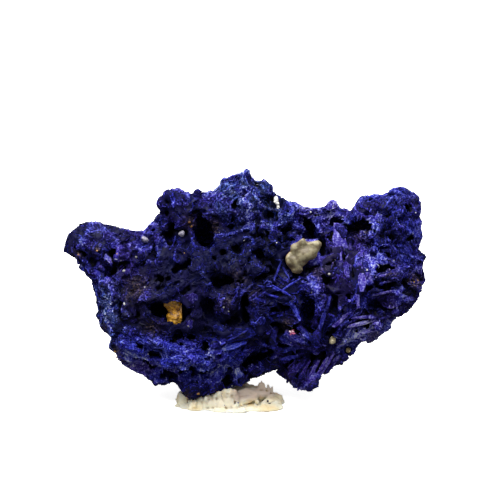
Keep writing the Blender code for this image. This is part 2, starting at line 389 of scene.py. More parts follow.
plainHabit = (0.45, 0.4, 0.2, 1, 0.14, 0.22, 0.5, 0.5, 0, 0.8, 0.12)
plainShare = 0.10


def habitShares(points):
    # how much of each habit there is at each point, the plain one last
    rows = [np.exp(-1.7 * (np.square((points - np.array(centre)) / np.array(radii))).sum(1))
            for centre, radii, values in habits.values()]
    rows.append(np.full(len(points), plainShare))
    shares = np.stack(rows).astype(np.float32)
    return shares / shares.sum(0)


def habitAt(points):
    table = np.array([values for centre, radii, values in habits.values()] + [plainHabit])
    blend = habitShares(points).T @ table
    return {name: blend[:, k] for k, name in enumerate(habitNames)}


def zoneWay(habit, forward=0.0):
    return np.stack([habit["right"], habit["right"] * 0 + forward, habit["up"]], 1)


# brown clay and limonite caught in the azurite of the display face: x, h, radius and strength
rustPatches = [
    (-13, 13.2, 1.5, 0.65), (-3.8, 20.6, 0.7, 0.8), (-6.3, 21.1, 0.8, 0.6), (13.3, 20.2, 1, 0.7), (4.8, 8.6, 0.7, 0.7),
    (-7, 0.2, 0.5, 0.6), (-17.3, 17.7, 0.5, 0.6), (-19.5, 17.2, 0.5, 0.6), (19.4, 14.1, 0.8, 0.9), (16.7, 15.3, 1, 0.5),
    (-15.3, 5.5, 0.6, 0.9), (-14.6, 4.4, 0.6, 0.9), (-13.8, 3.4, 0.6, 0.7), (-11.1, 8.5, 0.9, 0.5),
    (-16.8, 8.3, 0.6, 0.5), (0.4, 12.3, 1.2, 0.3), (-2.5, 11.8, 1, 0.3), (8.3, 14.8, 1.2, 0.5), (-1.3, 14.2, 1.4, 0.3),
    (10, 16.3, 0.7, 0.3), (15, 7.2, 1, 0.5),
]


def rustAt(points):
    # how near each point is to a patch, as the display face shows it
    shown = onFace(points)
    x, h, radius, strength = (np.array(column)[:, None] for column in zip(*rustPatches))
    near = strength * np.exp(-(np.square(shown[:, 0] - x) + np.square(shown[:, 1] - h)) / np.square(radius))
    return near.max(0) * (points[:, 1] < 2)


# grains that must stay in sight, so nothing of the mass grows in front of them:
# mm cleared beyond the left and right of each one's box
setGrains = {
    "calcite_nugget": (0.2, 0), "ochre_nugget": (0, 0.8), "cream_grain": (0, 0), "round_grain": (0, 0),
    "pink_flake": (0, 0), "ledge_grain": (0, 0), "pale_grain": (0, 0), "white_flake": (0.2, 0.1),
}
clearings = []
for name, (left, right) in setGrains.items():
    low, high = inMm(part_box(name))
    low, high = low - (left, 0, 0), high + (right, 0, 0)
    clearings.append(((low + high) / 2, (high - low) / 2))

massSettings = {
    "voxel": 0.17, "reach": 3.2, "margin": 1.2, "most": 196000,
    "spare": (0.9, 0.4, 0.6),  # how far it may pass the box, mm
    "walls": [(1.9, 0.42, 0.46), (0.85, 0.50, 0.30)],  # spacing, share of the spacing and height of thin crystal walls
    "bumps": [(3.0, 0.20), (0.50, 0.07)],  # size and height of plain bumps
    "settle": 0.46,  # how far the floors between the walls lie below the true outline
    "warp": (1.6, 0.55),  # size and reach of the bending that keeps the walls from looking drawn
    "stretch": 1.5,  # how much longer the pores are along the way of the crystals
    "jag": 0.55,  # size of the jagged outline of pits
    "shell": 1.3, "backPores": 0.55,  # thickness of the far side, and how far pores may cut into it
    "inset": 0.14,  # room left inside the outline for the crystals, mm
    "rim": 0.45, "rimPores": 0.05,  # nearer to the outline than this, no pore or cave cuts deeper than that
    "band": (-1.5, 0.9),  # how deep and how high the walls may reach, mm
    # number, radius in mm, shape as shares of the radius, and how far each is sunk as a share of it
    "boulders": {"count": 150, "radius": (0.7, 1.9), "sunk": 0.45, "facing": 0.6},  # rounded masses of the back
    "pores": {"count": 420, "radius": (0.20, 0.52), "shape": (0.8, 1.0, 2.1), "sunk": 0.5, "spread": 0.5},
    "balls": {"count": 6500, "radius": (0.14, 0.33), "open": 0.3},
    "tablets": {"count": 3600, "radius": (0.16, 0.34), "shape": (0.35, 0.8, 1.4), "open": 0.4},
    "ridge": {"radius": (0.22, 0.40), "steps": 7, "sunk": -0.1, "stray": 0.07},
    "cave": {"scale": 1.14, "sunk": 0.3},
    "knob": {"shape": (1.0, 1.3, 1.0), "sunk": 0.5},
    # the bed of a blade and the free space over it: width and length as shares of the blade's own, the rest in mm
    "bed": {"wide": 0.8, "deep": 0.36, "long": 0.95, "sunk": 0.28},
    "space": {"wide": 1.15, "deep": 0.6, "long": 1.1, "out": 0.62},
    "sight": {"steps": (0.0, 0.5, 1.0, 1.6, 2.2), "spare": 0.15},  # what is cleared in front of a grain, mm
    # how jagged the outline of each is, in mm, and for pores as a share of the radius
    "rough": {
        "boulder": 0.35, "pore": 0.55, "cave": 0.26, "knob": 0.10, "foot": 0.25, "ridge": 0.12, "seat": 0.12,
        "backing": 0.2,
    },
    # the outline seen from the display side: (x, h), closed
    "outline": [
        (-21.1, 18.1), (-20.6, 19.7), (-19.6, 20.6), (-18.6, 21.1), (-16.9, 21.2), (-16.4, 20.9), (-14.8, 20.6),
        (-14.6, 20.4), (-14, 20.4), (-13.2, 20.1), (-11.9, 20.2), (-10.5, 21.6), (-10.4, 21.9), (-10, 22.4),
        (-10.4, 22.9), (-10.4, 23.5), (-9.9, 24.3), (-9.2, 25), (-7.8, 25.2), (-6.8, 24.7), (-6.4, 24.7), (-6, 25),
        (-5.5, 25), (-5.1, 24.7), (-4.5, 24.8), (-3.9, 24.7), (-3, 25.5), (-3.1, 25.9), (-2.9, 26.3), (-1.8, 26.4),
        (0.1, 27.5), (0.4, 27.3), (0.6, 26.6), (1.1, 26.1), (1.5, 26), (2.1, 26.4), (3, 25.4), (3.1, 24.8), (3.6, 24.3),
        (4, 24.3), (4.9, 23.5), (5.5, 23.5), (6.1, 23.2), (6.7, 22.7), (7.1, 22.8), (7.7, 22.7), (8.9, 22.9),
        (9.7, 23.7), (10, 23.8), (10.4, 23.6), (10.6, 23.1), (10.9, 22.7), (11.5, 22.8), (11.9, 22.4), (12.3, 22.8),
        (13.1, 24.2), (13.3, 24.3), (13.9, 24.2), (14.5, 24.4), (15.4, 24.3), (16, 24.6), (16.1, 24.6), (16.6, 25),
        (17.5, 25.4), (18.3, 25.2), (18.9, 24.7), (19.5, 24.4), (20.1, 23.5), (20.2, 22.6), (19.9, 21.8), (20.3, 21.2),
        (20.2, 20.5), (20.4, 19.3), (20.1, 18.8), (19.9, 18), (20.3, 17.6), (20.7, 17.5), (21, 17), (20.5, 16.3),
        (20.6, 15.3), (20.8, 15.1), (20.7, 14.6), (20.9, 14.2), (20.8, 14), (20.5, 13.5), (20.6, 13.2), (20.3, 12.7),
        (20.2, 12), (19.6, 11.4), (19.1, 10.4), (17.6, 9.4), (17.1, 9.2), (16.8, 8.8), (16.8, 8.3), (15.4, 7.2),
        (14.8, 6.4), (14.5, 6.3), (13.9, 6.8), (13.5, 6.7), (13.2, 6.4), (12.7, 5.2), (11.3, 3.9), (10.8, 3.8),
        (10.2, 3.5), (9.2, 2.2), (9.1, 1.7), (8.2, 0.8), (7.5, 0.4), (6.4, 0.6), (5.3, 1.2), (4.5, 2), (3.9, 2.2),
        (3.3, 2.7), (2.9, 2.8), (0.8, 1.8), (0.3, 1.9), (-0.6, 1.1), (-1.1, 1.2), (-2.4, 0.8), (-3.6, 0.4), (-5, -0.1),
        (-5.6, 0.1), (-6, -0.4), (-6.7, -0.4), (-7.6, 0.2), (-7.6, 0.6), (-8.4, 1.8), (-9, 1.6), (-9.4, 1.3),
        (-10.6, 1.2), (-12.4, 2.7), (-13.2, 3), (-14.3, 3.7), (-15, 4.5), (-15.3, 5.2), (-16.2, 5.9), (-16.2, 6.4),
        (-15.8, 7.2), (-17.1, 8.5), (-17.3, 8.9), (-17.3, 9.2), (-17.6, 9.9), (-17.5, 10.3), (-17.6, 11.4),
        (-17.5, 12.1), (-18.1, 14.1), (-19.8, 16.2), (-19.8, 16.6), (-20.4, 17.2), (-21.1, 17.5),
    ],
    # knobs on it: (x, h) of a root, (x, h) of a tip, radius
    "knobs": [
        (0.1, 26, 0.1, 27.2, 0.45), (-1.5, 25.9, -1.6, 26.3, 0.4), (1.7, 25.3, 1.9, 25.9, 0.42),
        (17.6, 24.3, 17.9, 24.8, 0.55), (-8.3, 23.6, -9.1, 24.5, 0.65), (-9.2, 23, -9.9, 23.7, 0.5),
        (-5.9, 24, -5.7, 24.7, 0.5), (15.7, 23.8, 15.9, 24.3, 0.4), (19, 23.3, 19.7, 23.7, 0.6),
        (19.2, 22.5, 19.8, 22.8, 0.5), (-9.6, 22.7, -10.1, 22.8, 0.45), (11.2, 22, 11.4, 22.4, 0.4),
        (-9.4, 21.3, -10.2, 21.7, 0.55), (20, 19.3, 20.3, 19.4, 0.35), (20.1, 15.2, 20.5, 15.3, 0.38),
        (-18.2, 14.9, -18.4, 14.6, 0.3), (19.3, 12.6, 19.9, 12.2, 0.5), (18.7, 11.7, 19.3, 11.2, 0.5),
        (18.1, 11, 18.6, 10.5, 0.5), (17.4, 10.3, 17.9, 9.7, 0.45), (16.9, 9.8, 17.3, 9.2, 0.4),
        (16.2, 8.8, 16.5, 8.4, 0.38), (12.4, 6.6, 12.9, 6.1, 0.42), (11.8, 5.9, 12.3, 5.4, 0.42),
        (11.1, 5.2, 11.7, 4.7, 0.42), (10.4, 4.5, 10.9, 3.9, 0.4), (9.5, 3.2, 10, 2.7, 0.45), (9, 2.6, 9.5, 2, 0.45),
        (8.5, 2.2, 8.9, 1.5, 0.45), (7.8, 2, 8.1, 1.3, 0.42), (7.1, 2, 7.3, 1.4, 0.4), (-10.6, 2, -10.8, 1.6, 0.35),
        (9.9, 22.4, 10, 23.6, 0.5), (20.2, 14.6, 20.6, 14.5, 0.45), (20, 13.4, 20.4, 13.3, 0.4),
        (4.2, 3.2, 4.6, 2.6, 0.6), (-15.2, 6.4, -15.9, 6.5, 0.55),
    ],
    # lobes of the foot, which stands in front of its rest: centre and radii
    "foot": [
        ((-5.9, -4.3, 2), (1.5, 1.2, 1.3)), ((-4.4, -4.3, 2.5), (1.7, 1.2, 1.4)), ((-6.9, -3.8, 2.8), (0.9, 1.2, 1.2)),
    ],
    "backings": [((3.1, 1.0, 23.6), (0.9, 0.8, 1.0))],  # solid behind the splinter, where the wall is thin
    # hollows of the display face: x, h, half width, half height, depth, lean in degrees
    "caves": [
        (4.7, 18.8, 1.1, 0.7, 2, 35), (9.5, 17.3, 0.9, 0.4, 1.6, 10), (7.3, 19.5, 1.1, 0.7, 2.4, 0),
        (-2.4, 14.1, 1.65, 0.95, 3, 8), (-0.2, 11.1, 0.5, 1.9, 2.8, 4), (-4.4, 10.7, 1, 1.6, 1.9, 10),
        (-1.8, 9.3, 0.9, 0.5, 1.4, -3), (7.1, 10.4, 1.1, 1.7, 3, 0), (4.6, 11, 0.9, 0.8, 2, 0),
        (3.4, 10.6, 0.7, 0.5, 1.6, -10), (5.9, 8.3, 0.9, 0.4, 1.4, -35), (-5, 19.9, 1.5, 2.4, 3.8, 15),
        (-4.6, 18.2, 0.9, 0.9, 2.4, 0), (1.2, 4.7, 2.6, 0.9, 2, 28), (0.2, 4.2, 1, 0.8, 2.2, 0),
        (2.9, 5.6, 1.1, 0.5, 1.6, 20), (-10.1, 10.7, 2, 1.3, 3.6, 25), (-7.4, 10.5, 1.2, 1.2, 2.4, 40),
        (4.9, 4.1, 1.5, 0.34, 1.8, 58), (6.3, 4.5, 1.5, 0.3, 1.8, 58), (7.6, 4.4, 1.7, 0.34, 1.8, 66),
        (9.2, 5.2, 1.5, 0.26, 1.5, 60), (13, 20.6, 1.95, 0.9, 3.4, 14), (10.7, 20.7, 0.9, 0.75, 2.2, 10),
        (4.6, 19.4, 1.55, 0.9, 2.6, -68), (7.2, 20.3, 1.3, 0.8, 2.2, -69), (8.8, 17.9, 1.2, 0.6, 2, -87),
        (1.9, 14.7, 1.6, 0.6, 1.6, 20), (-2.4, 1.9, 1.08, 0.85, 1.8, 32), (-7.5, 15.8, 1.37, 0.71, 1.7, 17),
        (10.3, 11.2, 1.49, 0.73, 1.7, 80), (-8.5, 20.5, 1.68, 0.44, 1.3, 53), (-15.6, 15.4, 1.03, 0.7, 1.6, 15),
        (1.9, 17.6, 0.87, 0.79, 1.7, -6), (6, 14.5, 1.34, 0.38, 1.3, 32), (15.5, 13.1, 1.35, 0.39, 1.3, 0),
        (-9.3, 3, 0.93, 0.53, 1.4, -46), (-8.1, 7.6, 0.77, 0.5, 1.4, 12), (8.9, 16, 1.26, 0.32, 1.2, 14),
        (-1.2, 17.8, 0.63, 0.58, 1.5, -9), (16.2, 10.8, 1.03, 0.38, 1.3, 25), (-11.5, 4.2, 1.07, 0.32, 1.2, -26),
        (9.3, 14, 0.67, 0.51, 1.4, 23), (-10.9, 19.7, 0.79, 0.34, 1.2, 69), (6.8, 13.5, 0.54, 0.39, 1.3, 47),
        (16.6, 22.3, 0.53, 0.38, 1.3, 89), (6.4, 7.1, 0.92, 0.24, 1.1, -30), (-4.9, 6.2, 0.56, 0.37, 1.2, 60),
        (18.4, 13.6, 0.5, 0.36, 1.2, -33), (-6.5, 7.3, 0.55, 0.3, 1.2, -30), (18.8, 12.7, 0.72, 0.26, 1.1, 9),
        (-12.7, 10.2, 0.5, 0.32, 1.2, -64), (12.1, 9.5, 0.42, 0.35, 1.2, -69), (-8.4, 17.4, 0.43, 0.34, 1.2, -45),
        (-9, 13.9, 0.46, 0.33, 1.2, 87), (-10, 14.4, 0.39, 0.36, 1.2, -45), (1, 20.8, 0.49, 0.28, 1.1, -77),
        (1.6, 19.3, 0.42, 0.31, 1.2, 4), (3.9, 7.8, 0.4, 0.31, 1.2, 5), (0.2, 16.3, 0.5, 0.26, 1.1, 14),
        (13.4, 7.8, 0.45, 0.27, 1.1, -19), (-3.2, 4.8, 0.38, 0.3, 1.2, -22), (9.3, 12.8, 0.47, 0.23, 1.1, -46),
        (-2.7, 17.4, 0.36, 0.3, 1.2, 26), (-0.7, 15.1, 0.35, 0.28, 1.1, 4), (-1.7, 21.4, 0.44, 0.26, 1.1, 73),
        (-5.8, 15.5, 0.42, 0.24, 1.1, -49), (-3.9, 1.1, 0.42, 0.23, 1.1, -80), (-1.8, 3.2, 0.33, 0.28, 1.1, 51),
        (15.5, 14.9, 0.43, 0.22, 1.1, -45), (12, 12, 0.38, 0.23, 1.1, -57), (9.4, 7.9, 0.35, 0.25, 1.1, 21),
        (-10.4, 13.2, 0.38, 0.23, 1.1, -33), (1.5, 6.9, 0.32, 0.25, 1.1, 0), (3.8, 17.3, 0.29, 0.24, 1.1, 24),
        (-10.8, 15.5, 0.36, 0.2, 1, 20), (-11.9, 14.2, 0.36, 0.2, 1, -23), (-15.6, 16.8, 0.58, 0.71, 1.3, 0),
        (-19.5, 17.8, 0.81, 0.24, 0.8, -35), (-17.9, 16.3, 0.35, 0.36, 0.6, 0), (-9, 19.7, 0.46, 0.48, 1.5, 0),
        (-9.3, 22.2, 0.58, 0.36, 0.9, 10), (-0.3, 24.4, 0.35, 0.36, 1, 0), (-1.2, 22.8, 0.35, 0.48, 1.2, 20),
        (2.7, 21.9, 0.46, 0.36, 1.3, 0), (14, 23.8, 0.46, 0.3, 0.9, 0), (16.3, 24.1, 0.81, 0.3, 0.9, 10),
        (18.4, 22.8, 0.46, 0.59, 1.4, 0), (18.9, 19.2, 0.46, 0.48, 1.2, 0), (11.3, 16.9, 0.35, 0.71, 1.4, 0),
        (16.1, 15.7, 1.04, 0.59, 1, 0), (-14.3, 10.7, 0.35, 0.42, 1, 0), (-8, 6.3, 0.35, 0.24, 0.8, 0),
        (3.1, 8.9, 0.69, 0.48, 1.5, 0), (15, 11.4, 0.58, 0.59, 1.3, 0), (-6, 11.8, 0.35, 0.48, 1.2, 0),
        (-3.7, 16.3, 0.46, 0.48, 1.2, 0), (5, 16.3, 0.46, 0.95, 1.8, 0), (-1.8, 20.5, 0.46, 0.59, 1, 0),
        (-6.9, 18.6, 0.46, 0.59, 1.4, 0),
    ],
    # crystal ridges of the display face, as (x, h) places along each
    "ridges": {
        "ear edge": [(-20, 17.8), (-18.9, 16.3), (-17.8, 15), (-16.9, 14.1), (-15.9, 13.1), (-15.2, 12.1)],
        "ear root": [(-10.4, 19.2), (-11.2, 17.9), (-12.4, 16.7), (-13.5, 15.6), (-14.6, 14.4), (-15.5, 13.1)],
        "flank": [(-15.2, 12.1), (-15, 11.1), (-15.2, 9.8), (-15, 8.6), (-15.3, 7.4)],
        "lip edge": [(-15.4, 7.3), (-14.1, 6.3), (-12.8, 5.6), (-11.6, 4.7), (-10.5, 4.2), (-9.2, 4.1), (-8.1, 3.4),
                     (-6.9, 2.6)],
        "vug brow": [(-14.1, 11.8), (-12.7, 11.9), (-11.3, 12), (-10.1, 12.1), (-9.1, 12.7), (-8.1, 13.3), (-7, 13.8)],
        "lobe wall": [(17.6, 23.7), (17.7, 22.8), (17.7, 21.8)],
        "layer 1": [(14.5, 12.7), (15.5, 13.1), (16.7, 12.9), (17.7, 12.7)],
        "layer 2": [(15, 14.3), (16.2, 14.7), (17.4, 14.5)],
        "saddle rim": [(6.2, 22.3), (7.6, 22.2), (8.8, 22.8), (10, 23.5)],
        "right rim": [(20.3, 12.6), (19, 11.8), (17.9, 11.1), (17, 10.4)],
        "cave sill": [(12, 19), (13.4, 19), (14.7, 19.4)],
        "lobe web": [(15.8, 21.1), (15.3, 19.9), (14.8, 18.6), (15.2, 17.5)],
        "band 1": [(-13.9, 7.5), (-12.2, 6.9), (-10.7, 6.8), (-9.2, 6.3), (-7.8, 5.7), (-6.1, 4.8), (-4.5, 3.9)],
        "centre loop": [(-4.8, 15.3), (-3.7, 15.9), (-2.2, 15.6), (-0.8, 15), (0.6, 14.9), (1.8, 15.6)],
        "arch": [(0.7, 19.9), (0.6, 21.7), (1.3, 22.1), (1.8, 21.5), (1.7, 19.4)],
        "strand right": [(2, 20.3), (2.7, 19.6), (3.4, 18.7), (3.8, 17.8)],
        "loop low": [(-0.6, 16.2), (0.4, 15.6), (1.7, 15.6), (2.7, 16.2), (4, 17.1)],
        "loop up": [(0.6, 17.8), (1.2, 18.6), (2.3, 18.5), (2.9, 17.7), (2.7, 16.7)],
        "saddle fin": [(7.2, 22.4), (8.1, 22.4), (9, 22.7), (9.8, 23)],
        "band 3": [(-15.2, 7.2), (-14, 6.3), (-12.7, 5.7), (-11.5, 4.8), (-10.2, 4.4), (-9, 4)],
        "band 4": [(-12.5, 7.7), (-11.1, 7.2), (-9.8, 6.3), (-8.4, 5.7), (-7, 5), (-5.7, 4.5)],
        "band 5": [(-14.2, 8.1), (-12.8, 8), (-11.5, 6.9)],
        "flank inner": [(-15.5, 12.7), (-15.5, 11.2), (-15.7, 9.6), (-15.3, 8)],
        "vug left": [(-13.9, 11.8), (-13.7, 10.4), (-14.3, 9.1)],
        "ring": [(16.3, 21.1), (17.1, 21.3), (17.4, 20.4), (16.9, 19.7), (16.2, 19.9)],
        "cross 1": [(15.2, 19.4), (16.4, 18.3), (17.4, 17.3)],
        "cross 2": [(14.5, 17.5), (15.5, 18.3), (16.4, 19)],
        "lobe web 2": [(14.9, 22.7), (15.8, 22.9), (16.8, 22.1), (17.6, 22.2)],
        "ear seam": [(-14.3, 19.1), (-13.1, 18.7), (-12.1, 19.2)],
        "knee": [(4.4, 11.7), (5.2, 11.9), (6.1, 11.1)],
        "lath edge": [(14.9, 8.6), (16.1, 8.7), (17, 9.2)],
        "lip rim": [(-15.4, 5.5), (-14.3, 4.2), (-13, 3.2), (-11.7, 2.4)],
        "foot seam": [(-7.6, 2.3), (-6.4, 2), (-5.4, 2.4)],
    },
}


def fillOut(coarse, shape, step):
    # linear steps between the values of a coarse block
    rows = []
    for n, m in zip(shape, coarse.shape):
        at = np.arange(n) / step
        cell = at.astype(int)
        row = np.zeros((n, m), np.float32)
        row[np.arange(n), cell] = 1 - (at - cell)
        row[np.arange(n), cell + 1] += at - cell
        rows.append(row)
    return spread(rows, coarse)


def habitBlocks(field, s, step=5):
    # how deep the pores go, and how far readings shift to draw them out along the way of each zone's crystals
    shape = field["values"].shape
    counts = [n // step + 2 for n in shape]
    lattice = np.stack(np.meshgrid(*[np.arange(n) * step for n in counts], indexing="ij"), -1).reshape(-1, 3)
    points = (lattice + field["low"]) * s["voxel"]
    opened = habitAt(points)["open"]
    for centre, radii in clearings:
        opened = opened * np.clip(np.linalg.norm((points - centre) / (radii + 0.8), axis=1) * 2 - 1.4, 0, 1)
    shift = np.zeros(points.shape)
    for (centre, radii, values), share in zip(habits.values(), habitShares(points)):
        habit = dict(zip(habitNames, values))
        way = unit(np.array([habit["right"], 0.0, habit["up"]]))
        pull = np.minimum(share * habit["agree"] * s["stretch"], 0.8)
        shift -= (pull * ((points - np.array(centre)) @ way))[:, None] * way
    return [fillOut(block.reshape(counts).astype(np.float32), shape, step) for block in (opened, *shift.T)]


# single blades and plates of the display face: root (x, h), tip (x, h), half width, tone, roll in degrees, violet share
plateSettings = {
    "thick": 0.07, "proud": 0.12, "steepest": 0.5, "bend": 0.15, "blunt": 0.35, "rollSpread": 0.15,
    # what the azurite material reads on them; a violet share past "deep" counts "deeper" times over
    "deep": 0.7, "deeper": 3, "dust_and_sheen": (0.1, 0.4), "gritty": 0.6, "crest": 0.44,
    "blades": {
        "violet plate 1": (10.5, 20.9, 10.9, 17.4, 0.8, 0.36, 0, 1),
        "violet plate 2": (10.5, 18.2, 10.6, 15.6, 0.72, 0.42, 20, 1),
        "violet leaf 1": (12, 17.3, 12.2, 14.8, 0.62, 0.44, -15, 1),
        "violet leaf 2": (12.9, 16.2, 13.3, 13.3, 0.74, 0.44, 10, 1),
        "violet leaf 3": (11.8, 19.4, 12, 17.7, 0.46, 0.4, 30, 1),
        "violet leaf 4": (12.9, 12.5, 13, 10.8, 0.3, 0.48, 0, 1),
        "violet leaf 5": (11.4, 16.3, 11.7, 14.7, 0.4, 0.33, -35, 1),
        "violet leaf 6": (14.1, 15.1, 14.5, 13.7, 0.4, 0.4, 15, 1),
        "grainy shelf": (7.2, 16.1, 10.3, 16.7, 0.32, 0.53, 0, 1),
        "lath 1": (4.7, 12.3, 6.2, 9.6, 0.3, 0.41, 0, 0.2),
        "lath 2": (6.1, 8.5, 7.7, 6.7, 0.27, 0.4, 20, 0.2),
        "lath 3": (5.5, 7.7, 7.3, 6.2, 0.23, 0.33, -20, 0.2),
        "lath 4": (4, 7.2, 5.3, 6.3, 0.35, 0.3, 10, 0.2),
        "plate 1": (1.9, 9.7, 1.8, 8.1, 0.39, 0.36, 0, 0.25),
        "plate 2": (3.1, 8.1, 3.2, 6.1, 0.39, 0.33, 20, 0.25),
        "plate 3": (-3.8, 8.7, -1.8, 7.4, 0.48, 0.41, 0, 0.25),
        "tab": (-1.1, 3.4, -0.3, 1.3, 0.43, 0.44, 0, 0.1),
        "plate 4": (0.2, 11.1, 1.6, 9.2, 0.42, 0.28, 0, 0.25),
        "lath 5": (8.6, 8.5, 9.7, 12.1, 0.25, 0.4, 20, 0.2),
        "lath 6": (8.2, 7.2, 8.9, 9.8, 0.23, 0.3, 0, 0.2),
        "sheet 1": (-4.4, 5.5, -0.2, 6.8, 0.42, 0.46, 0, 0.05),
        "sheet 2": (-4.2, 6.3, 0.5, 7.5, 0.37, 0.4, 15, 0.05),
        "sheet 3": (-1.5, 7.9, 1.2, 7.7, 0.63, 0.34, 0, 0.05),
        "sheet 4": (-2.9, 6.8, 0, 8.1, 0.35, 0.36, -20, 0.05),
        "lath 7": (3.4, 5.5, 5.7, 6.1, 0.28, 0.23, 0, 0.2),
        "lath 8": (4, 4.5, 5.9, 5, 0.23, 0.23, 20, 0.2),
        "fan 1": (5.9, 1.3, 7.4, 4.6, 0.25, 0.3, 30, 0.7),
        "fan 2": (6.7, 1, 8.4, 4.4, 0.25, 0.36, -20, 0.7),
        "fan 3": (7.5, 1.1, 9.4, 4.9, 0.28, 0.41, 25, 0.7),
        "fan 4": (8.2, 1.8, 10.2, 5.5, 0.25, 0.4, -25, 0.7),
        "fan 5": (9.1, 2.8, 10.9, 5.7, 0.25, 0.33, 20, 0.7),
        "fan 6": (5.2, 2.3, 6.3, 4.2, 0.25, 0.23, 0, 0.7),
        "blade 1": (11.9, 8.6, 15.8, 8.9, 0.21, 0.51, 20, 0.8),
        "blade 2": (10.1, 8.6, 11.8, 10, 0.28, 0.44, 0, 0.8),
        "blade 3": (16.1, 8.4, 17.1, 8.9, 0.35, 0.4, 0, 0.8),
        "blade 4": (12.3, 9.6, 15.1, 9.4, 0.17, 0.36, 30, 0.8),
        "blade 5": (13.3, 7.8, 15.6, 8.1, 0.21, 0.23, 0, 0.8),
        "hexagonal plate": (-7.4, 11.3, -5.9, 12.5, 0.69, 0.44, 0, 1),
        "grey plate": (-7, 8.3, -6.4, 9.4, 0.46, 0.56, 0, 1),
        "plum plate": (-14.2, 9.1, -12.8, 9.6, 0.46, 0.23, 0, 1),
        "nub": (19.8, 16.9, 21, 17.2, 0.52, 0.36, 0, 0.9),
        "lip leaf": (-16.4, 6.2, -15.2, 6.9, 0.39, 0.4, 10, 0.9),
        "layer 1": (14.7, 12.4, 17.6, 12.6, 0.17, 0.48, 40, 0.7),
        "layer 2": (15, 14.5, 17.5, 14.8, 0.16, 0.44, 40, 0.7),
        "layer 3": (15.5, 13.8, 17.4, 13.9, 0.14, 0.33, 40, 0.7),
        "rim 3": (16.5, 8.1, 17.7, 9.8, 0.35, 0.36, 0, 0.8),
        "strand 1": (3.2, 14.1, 4, 16.1, 0.12, 0.36, 0, 0.1),
        "strand 2": (4, 16.1, 5, 14.5, 0.12, 0.32, 0, 0.1),
        "strand 3": (2.1, 20.3, 3.4, 18.7, 0.17, 0.39, 0, 0.1),
        "ear blade": (-16.5, 17.5, -15.6, 16.1, 0.37, 0.49, 0, 0.8),
        "ear blade 2": (-17.1, 16.3, -16.7, 15.4, 0.35, 0.4, 0, 0.8),
        "feather 1": (1.8, 12.7, 4.2, 11.8, 0.16, 0.4, 20, 0.1),
        "feather 2": (1.3, 13.5, 3.8, 12.9, 0.16, 0.36, -10, 0.1),
        "feather 3": (2.7, 13.7, 5.3, 12.3, 0.14, 0.39, 10, 0.1),
        "feather 4": (4.2, 13, 6.2, 14.3, 0.14, 0.39, 0, 0.1),
        "feather 5": (1, 11.9, 3, 11.1, 0.2, 0.29, 0, 0.1),
        "feather 6": (3.5, 12, 5.6, 11.1, 0.17, 0.35, 0, 0.1),
    },
}


def plateSeats(field, s):
    # root, tip and half width of each blade; it lies on the true outline of the mass
    seats = []
    for x, h, tipX, tipH, half in [row[:5] for row in s["blades"].values()]:
        root, along = faceAt(field, x, h, "plain")
        tip, along = faceAt(field, tipX, tipH, "plain")
        if sample(field, root[None], "plain")[0] > 0.3:  # the line of sight misses the stone there
            root = root + along * (tip[1] - root[1])
        most = s["steepest"] * math.hypot(tipX - x, tipH - h)
        rise = np.clip(tip[1] - root[1], -most, most)
        seats.append((root, np.array([root[0] + tipX - x, root[1] + rise, root[2] + tipH - h]), half))
    return seats


def growWalls(field, s):
    # thin crystal walls on the true outline, drawn out along each zone's way, with pores between them
    deepest, highest = s["band"]
    near = np.argwhere((field["plain"] < highest) & (field["plain"] > deepest))
    at = tuple(near.T)
    opened, *shift = habitBlocks(field, s)
    size, reach = s["warp"]
    read = np.stack([block[at] + noise(field, size, 71 + k)[at] * reach for k, block in enumerate(shift)], 1)
    walls = 0
    for k, (size, share, height) in enumerate(s["walls"]):
        walls = walls + height * np.clip(1 - np.abs(noise(field, size, 11 + k)) / share, 0, 1)
    field["crest"] = np.zeros(field["values"].shape, np.float32)
    field["crest"][at] = sampleBlock(walls, near + read / s["voxel"])
    lift = (field["crest"][at] - s["settle"]) * opened[at]
    for k, (size, height) in enumerate(s["bumps"]):
        lift = lift + height * noise(field, size, 31 + k)[at]
    field["values"][at] -= lift
    report("walls and pores between them")
    return near


def digHollows(field, s, near, dice):
    # a shell on the far side stays whole, so that no hollow of the display face comes out at the back
    values = field["values"]
    shell = (np.gradient(field["plain"], axis=1) > 0) & (field["plain"] > -s["shell"])
    rim = tuple(near[outside((near + field["low"]) * s["voxel"]) > -s["rim"]].T)
    kept = [(shell, values[shell] + s["backPores"]), (rim, values[rim] + s["rimPores"])]
    rough, boulder, pore, cave = s["rough"], s["boulders"], s["pores"], s["cave"]
    points, out = skinPoints(field, boulder["count"], dice)
    for p, n, radii in zip(points, out, dice.uniform(*boulder["radius"], points.shape)):
        if n[1] > boulder["facing"]:
            stamp(field, p - n * radii.min() * boulder["sunk"], radii, rough=rough["boulder"])
    points, out = skinPoints(field, pore["count"], dice)
    habit = habitAt(points)
    radius = dice.uniform(*pore["radius"], pore["count"]) * np.clip(habit["open"], 0.2, 1)
    way = zoneWay(habit)
    turns = frames(unit(way + dice.normal(0, pore["spread"], way.shape)), radius * 0)
    for p, n, r, turn in zip(points, out, radius, turns):
        stamp(field, p - n * r * pore["sunk"], r * np.array(pore["shape"]), turn, dig=True, rough=rough["pore"] * r)
    for x, h, across, up, depth, lean in s["caves"]:
        p, along = faceAt(field, x, h)
        radii = np.array((across, depth, up)) * cave["scale"]
        stamp(field, p + along * depth * cave["sunk"], radii, faceFrame(along, lean), dig=True, rough=rough["cave"])
    for part, most in kept:
        values[part] = np.minimum(values[part], most)


def onStone(field, p):
    # false where a line of sight has missed the stone
    return sample(field, p[None], "plain")[0] < 0.5


